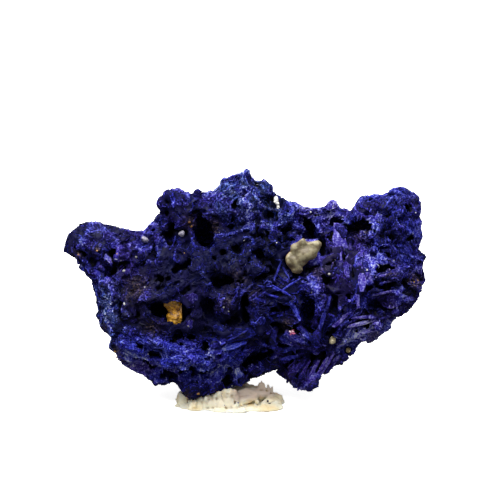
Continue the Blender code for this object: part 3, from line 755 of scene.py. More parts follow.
def growOutline(field, s):
    # knobs that show against the sky, and the foot
    knob = s["knob"]
    for xa, ha, xb, hb, r in s["knobs"]:
        p, along = faceAt(field, xa, ha)
        for t in (0.0, 0.5, 1.0) if onStone(field, p) else ():
            reach = np.array([xb - xa, 0, hb - ha]) * t * (1 - 0.5 * r)
            stamp(field, p + along * knob["sunk"] + reach, r * np.array(knob["shape"]), rough=s["rough"]["knob"])
    stampEach(field, s["foot"], rough=s["rough"]["foot"])
    report("pores, caves and outline")


def growRidges(field, s, dice):
    ridge = s["ridge"]
    for line in s["ridges"].values():
        for (xa, ha), (xb, hb) in zip(line, line[1:]):
            for t in np.linspace(0, 1, ridge["steps"])[:-1]:
                p, along = faceAt(field, xa + (xb - xa) * t, ha + (hb - ha) * t)
                r = dice.uniform(*ridge["radius"])
                shift = dice.normal(0, ridge["stray"], 3)
                if onStone(field, p):
                    stamp(field, p + along * ridge["sunk"] + shift, (r, r, r), rough=s["rough"]["ridge"])


def growGrains(field, s, dice):
    # round grains, then flat tablets, on what stands open
    ball, tablet = s["balls"], s["tablets"]
    points, out = skinPoints(field, ball["count"], dice)
    radius = dice.uniform(*ball["radius"], ball["count"])
    grows = (dice.random(len(points)) < habitAt(points)["round"]) & (openness(field, points, out) > ball["open"])
    for p, r in zip(points[grows], radius[grows]):
        stamp(field, p, (r, r, r))
    points, out = skinPoints(field, tablet["count"], dice)
    radius = dice.uniform(*tablet["radius"], tablet["count"])
    grows = openness(field, points, out) > tablet["open"]
    habit = habitAt(points)
    way = zoneWay(habit) * habit["agree"][:, None] * 2
    turns = frames(unit(way + dice.normal(0, 1, way.shape)), dice.uniform(0, 6.28, len(way)))
    for p, r, turn in zip(points[grows], radius[grows], turns[grows]):
        stamp(field, p, r * np.array(tablet["shape"]), turn, tablet=True)


def clearFace(field, s):
    # a seat under each blade and free space over it, and nothing in front of the set grains
    bed, space, sight = s["bed"], s["space"], s["sight"]
    for root, tip, half in bladeSeats:
        toEye, axis, long = unit(eye - root), unit(tip - root), np.linalg.norm(tip - root) / 2
        turn = np.stack([np.cross(axis, toEye), toEye, axis], 1)
        middle, rough = (root + tip) / 2, s["rough"]["seat"]
        radii = (half * bed["wide"], bed["deep"], long * bed["long"])
        stamp(field, middle - toEye * bed["sunk"], radii, turn, tablet=True, rough=rough)
        radii = (half * space["wide"], space["deep"], long * space["long"])
        stamp(field, middle + toEye * (plateSettings["proud"] + space["out"]), radii, turn, dig=True)
    for centre, radii in clearings:
        for far in sight["steps"]:
            stamp(field, centre + unit(eye - centre) * far, radii + sight["spare"], dig=True)
    stampEach(field, s["backings"], rough=s["rough"]["backing"])


def trim(field, s):
    # nothing passes the outline, and nothing stands far outside the box of the plain solid
    near = np.argwhere((field["values"] < 0.5) & (field["plain"] > -1.2))
    at = tuple(near.T)
    over = outside((near + field["low"]) * s["voxel"]) + s["inset"] + 0.05 * field["jag"][at]
    field["values"][at] = np.maximum(field["values"][at], over)
    low, high = inMm(cadBox)
    low[2] = 0.05
    for k, spare in enumerate(s["spare"]):
        place = (np.arange(field["values"].shape[k]) + field["low"][k]) * s["voxel"]
        over = np.maximum(low[k] - spare - place, place - high[k] - spare).astype(np.float32)
        field["values"] = np.maximum(field["values"], over.reshape([-1 if k == j else 1 for j in range(3)]))
    report("ridges, tablets and clearings")


def azuriteField(field, s):
    dice = np.random.default_rng(5)
    field["jag"] = noise(field, s["jag"], 7)
    near = growWalls(field, s)
    digHollows(field, s, near, dice)
    growOutline(field, s)
    growRidges(field, s, dice)
    growGrains(field, s, dice)
    clearFace(field, s)
    trim(field, s)


field = fieldOf("azurite_mass", massSettings["voxel"], massSettings["reach"], massSettings["margin"])
field["plain"] = field["values"].copy()
outline = outlineMap(massSettings["outline"])
bladeSeats = plateSeats(field, plateSettings)
report(f"level set of the mass {field['values'].shape}")
azuriteField(field, massSettings)
mass = finishPiece(fieldToMesh(field, "azurite_crystal_mass", massSettings["most"], True), "azurite", "azurite_mass")
massPoints, massTriangles = meshArrays(mass)


def colourByHabit(piece, points, tone, out):
    # what the azurite material reads at each point
    habit = habitAt(points)
    for name in ("violet", "dust_and_sheen", "teal"):
        addAttribute(piece, name, habit[name])
    addAttribute(piece, "rust", rustAt(points))
    addAttribute(piece, "open", openness(field, points + out * 0.12, out))
    addAttribute(piece, "crest", sample(field, points, "crest"))
    # the zone's pale shift is partly its own tone and partly painted light and shade: lighter low down on the band, lip
    # and blades, darker in the recessed middle
    addAttribute(piece, "tone", tone + habit["pale"] * 1.5)
    addAttribute(piece, "gritty", np.ones(len(points)))


colourByHabit(mass, massPoints, np.full(len(massPoints), 0.30), slope(field, massPoints, step=0.5))
report("mass")

# Crystals on the mass: each is a small closed wedge or flake, and they are joined into one mesh for each kind.
grain = (  # blunt eight-sided crystal
    np.array([(-1, -0.2, 0), (0.25, -1, 0.1), (1, 0.2, -0.1), (-0.25, 1, 0), (0.1, 0.1, 1), (-0.1, 0, -1)]),
    np.array([(0, 1, 4), (1, 2, 4), (2, 3, 4), (3, 0, 4), (1, 0, 5), (2, 1, 5), (3, 2, 5), (0, 3, 5)]))
wedge = (  # base of four corners, roof edge of two
    np.array([(-1, -1, 0), (1, -1, 0), (1, 1, 0), (-1, 1, 0), (-0.55, 0, 1), (0.55, 0, 1)]),
    np.array([(0, 1, 5), (0, 5, 4), (2, 3, 4), (2, 4, 5), (1, 2, 5), (3, 0, 4), (0, 3, 2), (0, 2, 1)]))


def leafFaces(stations):
    # top and bottom sheets of three columns, closed round the rim
    under = stations * 3
    top = []
    for a in [s * 3 + c for s in range(stations - 1) for c in (0, 1)]:
        top += [(a, a + 1, a + 4), (a, a + 4, a + 3)]
    top = np.array(top)
    rim = [s * 3 for s in range(stations)] + [under - 2] + [s * 3 + 2 for s in range(stations - 1, -1, -1)] + [1]
    side = []
    for a, b in zip(rim, rim[1:] + rim[:1]):
        side += [(a, b, b + under), (a, b + under, a + under)]
    return np.vstack([top, top[:, ::-1] + under, np.array(side)])


fitSettings = {
    "boxSpare": 0.026,  # how far a crystal may pass the box, as a share of its side
    "floor": 0.05, "outline": 0.16, "clear": 0.25,  # height over the floor, reach past the outline, room round grains
    "clean": (0.9, 0.5, 0.6),  # what stays clean round a blade: shares of its half width and length, mm over it
}


def onBlade(points):
    # whether each point lies on a single blade, which stays clean of small crystals
    covered = np.zeros(len(points), bool)
    across, along, over = fitSettings["clean"]
    for root, tip, half in bladeSeats:
        toEye, axis, long = unit(eye - root), unit(tip - root), np.linalg.norm(tip - root)
        place = points - (root + tip) / 2
        covered |= ((np.abs(place @ np.cross(axis, toEye)) < half * across) & (np.abs(place @ axis) < long * along)
                    & (np.abs(place @ toEye) < over))
    return covered


def manyOf(faces, copies, corners):
    # the faces of so many copies, each with its own corners
    return (faces[None] + (np.arange(copies) * corners)[:, None, None]).reshape(-1, 3)


def crystalMesh(name, corners, faces, places, turns, tone, proud=None, kinds=None):
    # corners are in mm beside each place; crystals that would stand outside the box or the outline, or more
    # than proud mm off the mass, are left out; kinds gives attributes of their own to whole crystals
    points = np.einsum("nij,nvj->nvi", turns, corners) + places[:, None]
    count = corners.shape[1]
    s = fitSettings
    low, high = inMm(cadBox)
    spare = (high - low) * s["boxSpare"]
    fits = ((points > low - spare) & (points < high + spare)).all((1, 2)) & (points[:, :, 2] > s["floor"]).all(1)
    if proud:
        fits &= ~onBlade(points.mean(1))
        fits &= (sample(field, points.reshape(-1, 3)).reshape(-1, count) < proud).all(1)
    fits &= (outside(points.reshape(-1, 3)).reshape(-1, count) < s["outline"]).all(1)
    for centre, radii in clearings:
        fits &= (np.linalg.norm((points - centre) / (radii + s["clear"]), axis=2) > 1).all(1)
    points = points[fits].reshape(-1, 3)
    piece = meshObject(name, points, manyOf(faces, fits.sum(), count))
    colourByHabit(piece, points, np.repeat(tone[fits], count), slope(field, points, step=0.5))
    for key, values in (kinds or {}).items():
        piece.data.attributes[key].data.foreach_set("value", np.repeat(values[fits], count).astype(np.float32))
    addAttribute(piece, "across", corners[fits][:, :, 0].ravel())
    addAttribute(piece, "along", corners[fits][:, :, 2].ravel())
    report(f"{name}: {fits.sum()} crystals, {len(piece.data.polygons)} triangles")
    return finishPiece(piece, "azurite")


def onSurface(points, triangles, count, dice):
    # random points spread evenly over a mesh
    a, b, c = (points[triangles[:, k]] for k in range(3))
    cross = np.cross(b - a, c - a)
    area = np.linalg.norm(cross, axis=1)
    pick = dice.choice(len(area), count, p=area / area.sum())
    u, v = dice.random((2, count, 1))
    flip = u + v > 1
    u, v = np.where(flip, 1 - u, u), np.where(flip, 1 - v, v)
    return a[pick] + u * (b - a)[pick] + v * (c - a)[pick], unit(cross[pick])


def exposed(points, out, dice, least=0.02):
    # fewer crystals towards the bottom of a hollow
    show = np.clip((openness(field, points + out * 0.12, out) - 0.38) / 0.25, least, 1)
    return dice.random(len(points)) < show


def rooted(s, seed, tries, grows):
    # random roots on the mass; grows says from the habit and a throw of the dice whether a crystal takes hold there
    dice = np.random.default_rng(seed)
    p, n = onSurface(massPoints, massTriangles, s["count"] * tries, dice)
    keep = grows(habitAt(p), dice.random(len(p))) & exposed(p, n, dice)
    p, n = p[keep][:s["count"]], n[keep][:s["count"]]
    return dice, p, n, len(p)


def wayOf(p, out, dice, spread, rise):
    # the zone's way laid along the surface and lifted off it
    habit = habitAt(p)
    way = unit(zoneWay(habit, -0.1)) * dice.choice([-1, 1], (len(p), 1))
    way = unit(way + dice.normal(0, 1, way.shape) * (spread * (1.15 - habit["agree"]))[:, None])
    way = unit(way - out * (way * out).sum(1)[:, None])
    return unit(way + out * rise[:, None])


druseSettings = {
    "count": 24000, "size": (0.05, 0.12), "wide": (0.9, 1.5), "deep": (0.7, 1.1), "long": (0.9, 1.8),
    "tone": (0.08, 0.72), "spread": 0.7, "proud": 0.14, "sunk": 0.2,
}


def growDruse(s):
    dice, p, n, count = rooted(
        s, 21, 10, lambda habit, roll: roll > np.maximum(habit["needles"], habit["flakes"]) * 0.6)
    axis = unit(n + dice.normal(0, s["spread"], n.shape))
    axis *= np.sign((axis * n).sum(1))[:, None]
    half = dice.uniform(*s["size"], count)
    sizes = half[:, None] * np.stack([dice.uniform(*s[side], count) for side in ("wide", "deep", "long")], -1)
    turns = frames(axis, dice.uniform(0, 6.28, count))
    places = p + axis * half[:, None] * s["sunk"]
    tone = dice.uniform(*s["tone"], count)
    return crystalMesh("azurite_druse_1", grain[0] * sizes[:, None], grain[1], places, turns, tone, s["proud"])


needleSettings = {
    "count": 5000, "length": (0.35, 0.9), "half": (0.03, 0.06), "tone": (0.08, 0.72),
    "spread": 0.9, "rise": (0.05, 0.5), "proud": 0.22, "sunk": 0.4,
}


def growNeedles(s):
    dice, p, n, count = rooted(s, 22, 10, lambda habit, roll: roll < habit["needles"] ** 1.5 * 0.6 + 0.02)
    axis = wayOf(p, n, dice, s["spread"], dice.uniform(*s["rise"], count))
    length, half = dice.uniform(*s["length"], count), dice.uniform(*s["half"], count)
    sizes = np.stack([half * dice.uniform(1, 2, count), half, length], -1)
    turns = frames(axis, dice.uniform(0, 6.28, count))
    places = p - axis * length[:, None] * s["sunk"]
    tone = dice.uniform(*s["tone"], count)
    return crystalMesh("azurite_needles", wedge[0] * sizes[:, None], wedge[1], places, turns, tone, s["proud"])


leafSettings = {  # places along a leaf as shares of its length, and how wide it is there
    "stations": np.array([0.0, 0.2, 0.45, 0.7, 0.88, 1.0]), "widths": np.array([0.55, 0.85, 1.0, 0.85, 0.55, 0.15]),
    "ragged": (0.55, 1.3), "rib": 0.25, "stray": 0.05, "bent": 0.3,
    "rim": (0.3, 0.8), "crown": (0.9, 1.6), "under": -0.6,  # how thick it is at the rim and the middle, and underneath
}
leafSides = leafFaces(len(leafSettings["stations"]))


def leafCorners(half, thick, length, bend, dice, blunt=0.0):
    # ragged leaves: width varies by station, the middle is thicker, and each bends a little
    s = leafSettings
    stations, size = s["stations"], (len(half), len(s["stations"]))
    profile = s["widths"] + (1 - s["widths"]) * blunt
    left, right = (profile * dice.uniform(*s["ragged"], size) * half[:, None] for side in "lr")
    middle = dice.uniform(-s["rib"], s["rib"], size) * profile * half[:, None]
    across = np.stack([-left, middle, right], 2)
    stray = dice.uniform(-s["stray"], s["stray"], (len(half), 3, len(stations)))
    along = (stations + stray).transpose(0, 2, 1) * length[:, None, None]
    sag = (bend[:, None] * (stations - s["bent"]) ** 2 * length[:, None])[:, :, None]
    crown = np.stack([dice.uniform(*s[column], size) for column in ("rim", "crown", "rim")], 2) * thick[:, None, None]
    sheets = [np.stack([across, sag + lift, along], -1) for lift in (crown, crown * s["under"])]
    return np.concatenate([sheet.reshape(len(half), -1, 3) for sheet in sheets], 1)


def leafTurns(axis, out, roll):
    # across, thickness and length of a leaf: its flat side faces away from the stone, then rolls a little
    across = unit(np.cross(axis, out))
    thick = unit(np.cross(across, axis)) * -1
    thick = np.where(((thick * out).sum(1) < 0)[:, None], -thick, thick)
    across = np.cross(thick, axis)
    c, s = np.cos(roll)[:, None], np.sin(roll)[:, None]
    return np.stack([across * c + thick * s, thick * c - across * s, axis], -1)


flakeSettings = {
    "count": 1500, "length": (0.6, 1.9), "half": (0.13, 0.36), "thick": (0.04, 0.09), "tone": (0.08, 0.70),
    "bend": 0.5, "roll": 0.6, "spread": 0.9, "rise": (0.02, 0.35), "proud": 0.36, "sunk": 0.3,
}


def growFlakes(s):
    dice, p, n, count = rooted(s, 23, 10, lambda habit, roll: roll < habit["flakes"] ** 1.6 * 0.7 + 0.006)
    axis = wayOf(p, n, dice, s["spread"], dice.uniform(*s["rise"], count))
    length, half, thick = (dice.uniform(*s[side], count) for side in ("length", "half", "thick"))
    corners = leafCorners(half, thick, length, dice.uniform(-s["bend"], s["bend"], count), dice)
    turns = leafTurns(axis, n, dice.normal(0, s["roll"], count))
    places = p - axis * length[:, None] * s["sunk"]
    return crystalMesh("azurite_flakes", corners, leafSides, places, turns, dice.uniform(*s["tone"], count), s["proud"])


def setPlates(s):
    dice = np.random.default_rng(24)
    tone, roll, violet = np.array([row[5:] for row in s["blades"].values()]).T
    root, tip, half = (np.array(column) for column in zip(*bladeSeats))
    toEye = unit(eye - root)
    count, length = len(root), np.linalg.norm(tip - root, axis=1)
    bend = dice.uniform(-s["bend"], s["bend"], count)
    corners = leafCorners(half, np.full(count, s["thick"]), length, bend, dice, s["blunt"])
    turns = leafTurns(unit(tip - root), toEye, np.radians(roll) + dice.normal(0, s["rollSpread"], count))
    least, more = s["dust_and_sheen"]
    kinds = {"violet": np.where(violet < s["deep"], violet, s["deeper"] * violet), "dust_and_sheen": least + more * violet,
             "gritty": np.full(count, s["gritty"]), "crest": np.full(count, s["crest"])}
    return crystalMesh("azurite_blades", corners, leafSides, root + toEye * s["proud"], turns, tone, kinds=kinds)


strandSettings = {
    "count": 3200, "length": (0.9, 3.0), "radius": (0.06, 0.13), "bend": 0.38, "steps": 7, "sides": 4, "least": 0.0,
    "tone": (0.22, 0.68), "spread": 0.7, "proud": 0.3,
}
fibreSettings = {
    "count": 5200, "length": (0.7, 2.2), "radius": (0.035, 0.07), "bend": 0.30, "steps": 5, "sides": 3, "least": 0.12,
    "tone": (0.18, 0.78), "spread": 0.9, "proud": 0.3,
}


strandShape = {
    "feel": 0.35, "hold": 0.4,  # how far round it a strand feels for the surface, and the most it drops in a step, mm
    "ends": 0.25, "knots": (0.7, 1.3), "knock": (0.75, 1.25), "sunk": 0.4,  # as shares of its thickness
}


def growStrands(name, s, seed):
    # creeping ridges of tiny crystals: each follows the surface along its zone's way
    feel, hold, ends, knots, knocks, sunk = strandShape.values()
    dice, p, n, count = rooted(s, seed, 30, lambda habit, roll: roll < habit["needles"] * 0.8 + s["least"])
    way = wayOf(p, n, dice, s["spread"], np.zeros(count))
    step = dice.uniform(*s["length"], (count, 1)) / s["steps"]
    radius = dice.uniform(*s["radius"], (count, 1))
    sides = s["sides"]
    angle = (np.arange(sides) / sides * 2 * math.pi)[None, :, None]
    rings, start = [], p.copy()
    for k in range(s["steps"] + 1):
        out = slope(field, p, step=feel)
        way = unit(way - out * (way * out).sum(1)[:, None])
        side = np.cross(way, out)
        taper = ends + math.sin(math.pi * (k + 0.3) / (s["steps"] + 0.6))
        thick = radius * dice.uniform(*knots, (count, 1)) * taper
        p = p - out * np.clip(sample(field, p)[:, None] - thick * sunk, -hold, hold)
        knock = dice.uniform(*knocks, (count, sides, 1)) * thick[:, None]
        ring = np.cos(angle) * side[:, None] + np.sin(angle) * out[:, None]
        rings.append(p[:, None] + knock * ring - start[:, None])
        p = p + way * step
        way = unit(way + dice.normal(0, s["bend"], way.shape))
    faces, last = [], s["steps"] * sides
    for k in range(0, last, sides):
        for c in range(sides):
            a, b = k + c, k + (c + 1) % sides
            faces += [(a, b + sides, b), (a, a + sides, b + sides)]
    for c in range(1, sides - 1):
        faces += [(0, c, c + 1), (last, last + c + 1, last + c)]
    still = np.tile(np.eye(3), (count, 1, 1))
    tone = dice.uniform(*s["tone"], count)
    return crystalMesh(name, np.concatenate(rings, 1), np.array(faces), start, still, tone, s["proud"])


crystals = [
    growDruse(druseSettings), growNeedles(needleSettings), growStrands("azurite_strands", strandSettings, 26),
    growStrands("azurite_fibres", fibreSettings, 27), growFlakes(flakeSettings), setPlates(plateSettings),
]

nuggetSettings = {
    "voxel": 0.09, "reach": 0.9, "margin": 0.35, "most": 24000, "bumps": [(1.3, 0.09), (0.5, 0.05), (0.25, 0.022)],
    "lobes": [  # centre and radii in mm
        ((7.5, -6.6, 19.8), (0.75, 0.55, 0.75)), ((4.75, -6.8, 18.2), (0.62, 0.5, 0.9)),
        ((6.45, -6.7, 20.2), (0.85, 0.6, 0.8)), ((5.6, -6.7, 19.5), (0.75, 0.55, 0.9)),
        ((5.6, -6.6, 17.2), (0.75, 0.55, 0.6)), ((7, -6.6, 19.1), (0.9, 0.6, 0.8)), ((6.1, -6.6, 18.5), (0.9, 0.6, 1)),
        ((5.1, -6.6, 18.5), (0.65, 0.55, 0.9)),
    ],
    "dents": [
        ((8.6, -6.9, 20.6), (0.45, 0.9, 0.45)), ((7.1, -7, 21), (0.2, 0.9, 0.45)), ((6.4, -7.6, 17), (0.4, 0.6, 0.4)),
        ((6.1, -7.75, 18.9), (0.16, 0.3, 0.6)), ((8, -7.4, 18), (0.45, 0.8, 0.35)),
    ],
}


def calciteNugget(s):
    field = fieldOf("calcite_nugget", s["voxel"], s["reach"], s["margin"])
    stampEach(field, s["lobes"])
    soften(field, 3)
    stampEach(field, s["dents"], dig=True)
    soften(field, 1)
    roughen(field, s["bumps"], 101)
    return finishPiece(fieldToMesh(field, "calcite_nugget_grown", s["most"], True), "calcite", "calcite_nugget")


ochreSettings = {
    "voxel": 0.06, "reach": 0.7, "margin": 0.3, "most": 16000, "bumps": [(0.7, 0.08), (0.3, 0.05), (0.14, 0.018)],
    "lobes": [
        ((-8.1, -6.4, 13.4), (0.8, 0.5, 0.5)), ((-7.9, -6.5, 12.6), (1, 0.6, 0.8)),
        ((-8, -6.5, 11.9), (1.05, 0.6, 0.85)), ((-8.2, -6.5, 11.1), (0.7, 0.5, 0.5)),
        ((-7.5, -6.5, 12.2), (0.7, 0.5, 0.75)),
    ],
    "chips": 4, "chip": (0.4, 0.35, 0.3), "chipOut": 0.34,  # number, half sizes and how far out their middle lies
}


def ochreNugget(s):
    # broken crystal grain: flat chips taken off all round
    field = fieldOf("ochre_nugget", s["voxel"], s["reach"], s["margin"])
    stampEach(field, s["lobes"])
    dice = np.random.default_rng(41)
    for p, n in zip(*skinPoints(field, s["chips"], dice)):
        turn = frames(unit(n + dice.normal(0, 0.35, 3))[None], np.array([dice.uniform(0, 6.28)]))[0]
        stamp(field, p + turn[:, 2] * s["chipOut"], s["chip"], turn, dig=True, tablet=True)
    roughen(field, s["bumps"], 111)
    return finishPiece(fieldToMesh(field, "ochre_nugget_grown", s["most"]), "ochre", "ochre_nugget")


smallSettings = {
    "voxel": 0.035, "reach": 0.3, "margin": 0.12, "most": 3200,
    "grains": {  # node: size and height of bumps, roundness by smooth shading, how pale it is
        "cream_grain": ([(0.35, 0.05), (0.16, 0.02)], False, 0.85),
        "round_grain": ([(0.3, 0.012), (0.12, 0.006)], True, 0.45),
        "ledge_grain": ([(0.3, 0.05), (0.14, 0.02)], False, 0.55),
        "pale_grain": ([(0.3, 0.05), (0.14, 0.02)], False, 0.60),
    },
}


def shareOf(piece, share):
    # how pale the whole piece is
    addAttribute(piece, "share", np.full(len(piece.data.vertices), share))
    return piece


def smallGrains(s):
    made = []
    for k, (name, (bumps, smooth, share)) in enumerate(s["grains"].items()):
        field = fieldOf(name, s["voxel"], s["reach"], s["margin"])
        roughen(field, bumps, 121 + 5 * k)
        piece = fieldToMesh(field, name + "_grown", s["most"], smooth)
        made.append(shareOf(finishPiece(piece, "pale_grain", name), share))
    return made


whiteFlakeSettings = {
    "voxel": 0.035, "margin": 0.2, "most": 6000, "bumps": [(0.3, 0.045), (0.12, 0.02)], "share": 0.95,
    "limbs": [  # a head and two legs, as (from, to, radius, radius)
        ((3.38, -0.6, 24.1), (3.4, -0.6, 23.75), 0.28, 0.27), ((3.4, -0.6, 23.75), (3.66, -0.6, 23.1), 0.23, 0.18),
        ((3.6, -0.6, 23.2), (3.62, -0.6, 22.72), 0.14, 0.11), ((3.66, -0.6, 23.15), (4.02, -0.6, 22.66), 0.17, 0.11),
    ],
}


def whiteFlake(s):
    # a bleached splinter
    low, high = inMm(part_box("white_flake"))
    field = fieldFrom(low - s["margin"], high + s["margin"], s["voxel"])
    for a, b, ra, rb in s["limbs"]:
        for t in np.linspace(0, 1, 9):
            r = ra + (rb - ra) * t
            stamp(field, np.array(a) * (1 - t) + np.array(b) * t, (r, r * 0.8, r))
    roughen(field, s["bumps"], 151)
    piece = fieldToMesh(field, "white_flake_grown", s["most"])
    return shareOf(finishPiece(piece, "calcite", "white_flake"), s["share"])


pinkSettings = {
    "thick": 0.03, "bend": 0.4, "roll": 0.5, "blunt": 0.3,
    # length, half width, lean in degrees and how pale it is
    "wings": [
        (0.42, 0.10, 60, 0.5), (0.5, 0.12, -20, 0.2), (0.36, 0.09, 150, 0.8), (0.4, 0.10, -115, 0.35),
        (0.3, 0.08, 15, 0.9),
    ],
}


def pinkFlake(s):
    # a few thin wings that meet at one point
    low, high = inMm(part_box("pink_flake"))
    centre = (low + high) / 2
    dice = np.random.default_rng(43)
    length, half, lean, share = np.array(s["wings"]).T
    lean, count = np.radians(lean), len(lean)
    axis = unit(np.stack([np.cos(lean), dice.uniform(-0.35, 0.0, count), np.sin(lean)], 1))
    turns = leafTurns(axis, np.tile(unit(eye - centre), (count, 1)), dice.normal(0, s["roll"], count))
    bend = dice.uniform(-s["bend"], s["bend"], count)
    corners = leafCorners(half, np.full(count, s["thick"]), length, bend, dice, s["blunt"])
    points = (np.einsum("nij,nvj->nvi", turns, corners) + centre).reshape(-1, 3)
    piece = meshObject("pink_flake_grown", points, manyOf(leafSides, count, corners.shape[1]))
    addAttribute(piece, "share", np.repeat(share, corners.shape[1]))
    return finishPiece(piece, "pink_grain", "pink_flake")


# loose specks caught in the druse or lying on the putty: x, h, half size in mm and how pale they are
speckSettings = {
    "size": 0.7, "sunk": 0.4,  # share of that size they are made at, and how deep they lie
    "knock": 0.28, "ripple": 2.2, "chips": 0.05, "stretch": (0.75, 1.15),  # how lumpy, how close, how chipped, how long
    "pale": [
        (-14.2, 15.3, 0.25, 0.6), (-7.8, 17.7, 0.18, 0.8), (-12.8, 16.9, 0.23, 0.5), (-3.1, 19.9, 0.17, 0.9),
        (-0.5, 21.5, 0.18, 0.8), (1.3, 18.7, 0.17, 0.8), (-14.2, 11.3, 0.28, 0.9), (-11.6, 5.2, 0.17, 0.7),
        (-6.8, 8.6, 0.18, 0.3), (5.6, 21.1, 0.18, 0.9), (14, 15.4, 0.21, 0.95), (14.3, 15, 0.15, 0.9),
        (17.1, 16.5, 0.18, 0.95), (-11.8, 13.3, 0.16, 0.8), (-12.5, 12.9, 0.15, 0.5), (-0.1, 16, 0.14, 0.9),
        (3.5, 18.6, 0.13, 0.8), (2.6, 17.5, 0.13, 0.7), (7.6, 12.7, 0.18, 0.5), (9.6, 14.9, 0.21, 0.4),
        (-2.7, 10.9, 0.21, 0.5), (-2.1, 10.4, 0.14, 0.6), (5.3, 8.4, 0.16, 0.35), (5.2, 6.6, 0.12, 0.9),
        (0.9, 11.8, 0.18, 0.6), (10.3, 16.6, 0.14, 0.3), (-0.3, 18.9, 0.15, 0.4), (16.4, 24.8, 0.13, 0.9),
        (19.5, 22.2, 0.14, 0.9), (7.4, 22.3, 0.18, 1), (8, 22.3, 0.16, 1), (-1.4, 1.3, 0.17, 1), (-1, 1.3, 0.15, 1),
        (-1.7, 1.3, 0.14, 1),
    ],
    "ochre": [
        (-5.7, 0.3, 0.25, 0.7), (18.8, 14.1, 0.17, 0.8), (19.1, 13.8, 0.15, 0.6), (19.5, 13.9, 0.17, 0.8),
        (19.9, 14.1, 0.16, 0.7), (-17.3, 17.7, 0.18, 0.6), (-19.5, 17.2, 0.17, 0.8), (-6.4, 20.6, 0.25, 0.3),
        (-6.6, 21.1, 0.21, 0.2), (-15.4, 5.5, 0.21, 0.5), (-15.2, 4.8, 0.21, 0.3), (-15, 17.3, 0.15, 0.5),
        (-7.2, 17.4, 0.14, 0.7),
    ],
    "crumb": [(2.5, -0.6, 0.22, 0.20), (2.7, -0.9, 0.20, 0.10), (-1.0, -0.8, 0.14, 0.80), (-2.6, -1.1, 0.10, 0.60)],
}


def specks(name, kind, slot, seed, field, s=speckSettings):
    ball = bmesh.new()
    bmesh.ops.create_icosphere(ball, subdivisions=2, radius=1.0)
    corners = np.array([tuple(v.co) for v in ball.verts])
    faces = np.array([[v.index for v in f.verts] for f in ball.faces])
    ball.free()
    dice = np.random.default_rng(seed)
    points = []
    for x, h, size, share in s[kind]:
        place, along = faceAt(field, x, h)
        size *= s["size"]
        lumps = np.sin(corners @ dice.normal(0, s["ripple"], (3, 5))).mean(1)
        knock = 1 + s["knock"] * lumps + dice.normal(0, s["chips"], len(corners))
        stretch = dice.uniform(*s["stretch"], 3)
        points.append(place - along * size * s["sunk"] + corners * knock[:, None] * stretch * size)
    piece = meshObject(name, np.vstack(points), manyOf(faces, len(points), len(corners)))
    addAttribute(piece, "share", np.repeat([share for x, h, size, share in s[kind]], len(corners)))
    return finishPiece(piece, slot)


puttySettings = {
    "voxel": 0.11, "below": 0.3, "above": (0.3, 0.3, 1.3), "most": 60000,
    # centre and radii in mm
    "lumps": [
        ((-5, -3.6, 0), (3.3, 2.6, 0.42)), ((-6.6, -1.6, 0), (1.75, 1.9, 0.75)), ((-2.2, -4.4, 0), (4.2, 2.2, 0.55)),
        ((1.4, -4.2, 0), (2.9, 1.9, 0.7)), ((3.2, -2.6, 0), (1.2, 1.6, 1)), ((-3.2, -0.6, 0), (2.6, 2.4, 1.55)),
        ((-5.4, 0, 0), (2, 2.2, 1.25)), ((-3, 2.2, 0), (3.8, 2.7, 0.95)), ((0.4, 0.6, 0), (2.6, 2.6, 0.9)),
        ((-0.8, -0.4, 0.3), (2.2, 1.8, 1.6)), ((-5.2, 3.2, 0), (2.6, 1.8, 0.7)), ((-7.3, -2.4, 0), (0.95, 1.3, 1.6)),
    ],
    # kneaded rolls: points along each, with its radius
    "rolls": [
        [(-1.6, -3.3, 0.9, 0.45), (-0.7, -3.4, 1.1, 0.7), (0.3, -3.2, 1.2, 0.75), (1.3, -2.9, 1.2, 0.72),
         (2.2, -2.6, 1, 0.66), (3.1, -2.4, 0.65, 0.6), (3.8, -2.2, 0.35, 0.45)],
        [(-1.7, -4, 0.7, 0.42), (-0.9, -4.3, 0.8, 0.52), (0.1, -4.2, 0.85, 0.5), (0.8, -3.8, 1.1, 0.42),
         (1.4, -3.5, 1.4, 0.34), (2.2, -3.3, 1.2, 0.3), (3, -3, 0.85, 0.28)],
        [(1.1, -4.1, 0.55, 0.35), (2, -3.9, 0.5, 0.38), (2.9, -3.5, 0.45, 0.4), (3.5, -3, 0.4, 0.42)],
    ],
    "crease": 0.14, "drop": 0.1,  # how much wider and lower the crease is that each roll lies in
    "web": ((1.0, -3.5, 0.0), (2.6, 1.9, 0.5)),  # keeps the creases beside the rolls from cutting through
    "grooves": [  # centre, radii and turn in degrees
        ((0.9, -4.7, 1.15), (0.9, 0.35, 0.16), 24), ((2.2, -4.0, 0.85), (0.9, 0.35, 0.14), 12),
        ((-1.2, -4.9, 0.9), (0.14, 0.4, 0.4), 0),
    ],
    "folds": [(2.4, 0.30, 0.12), (1.1, 0.40, 0.07)],  # spacing, share and depth of the creases from kneading
    "bumps": [(1.4, 0.07), (0.5, 0.045), (0.24, 0.022)],
    "crumbs": 160, "crumbRadius": (0.08, 0.22), "crumbTop": 0.9,
    # putty squeezed up round the foot: x, height and half width of each finger
    "fingers": [
        (-6, 1.35, 0.32), (-5.4, 1.55, 0.36), (-4.75, 1.75, 0.3), (-4.2, 1.95, 0.36), (-3.65, 2.05, 0.28),
        (-3.15, 2.25, 0.34), (-2.55, 2.45, 0.32), (-2, 2.55, 0.36), (-1.4, 2.35, 0.3),
    ],
    # shreds it left when it was pulled off: x, y, height of the root, radius and rise
    "fringes": [
        (1.45, -3, 1.8, 0.26, 0.75), (1.75, -3, 1.8, 0.24, 1.05), (2.05, -3, 1.8, 0.22, 0.75),
        (2.6, -2.8, 1.5, 0.26, 0.8), (2.9, -2.7, 1.4, 0.22, 0.65),
    ],
}


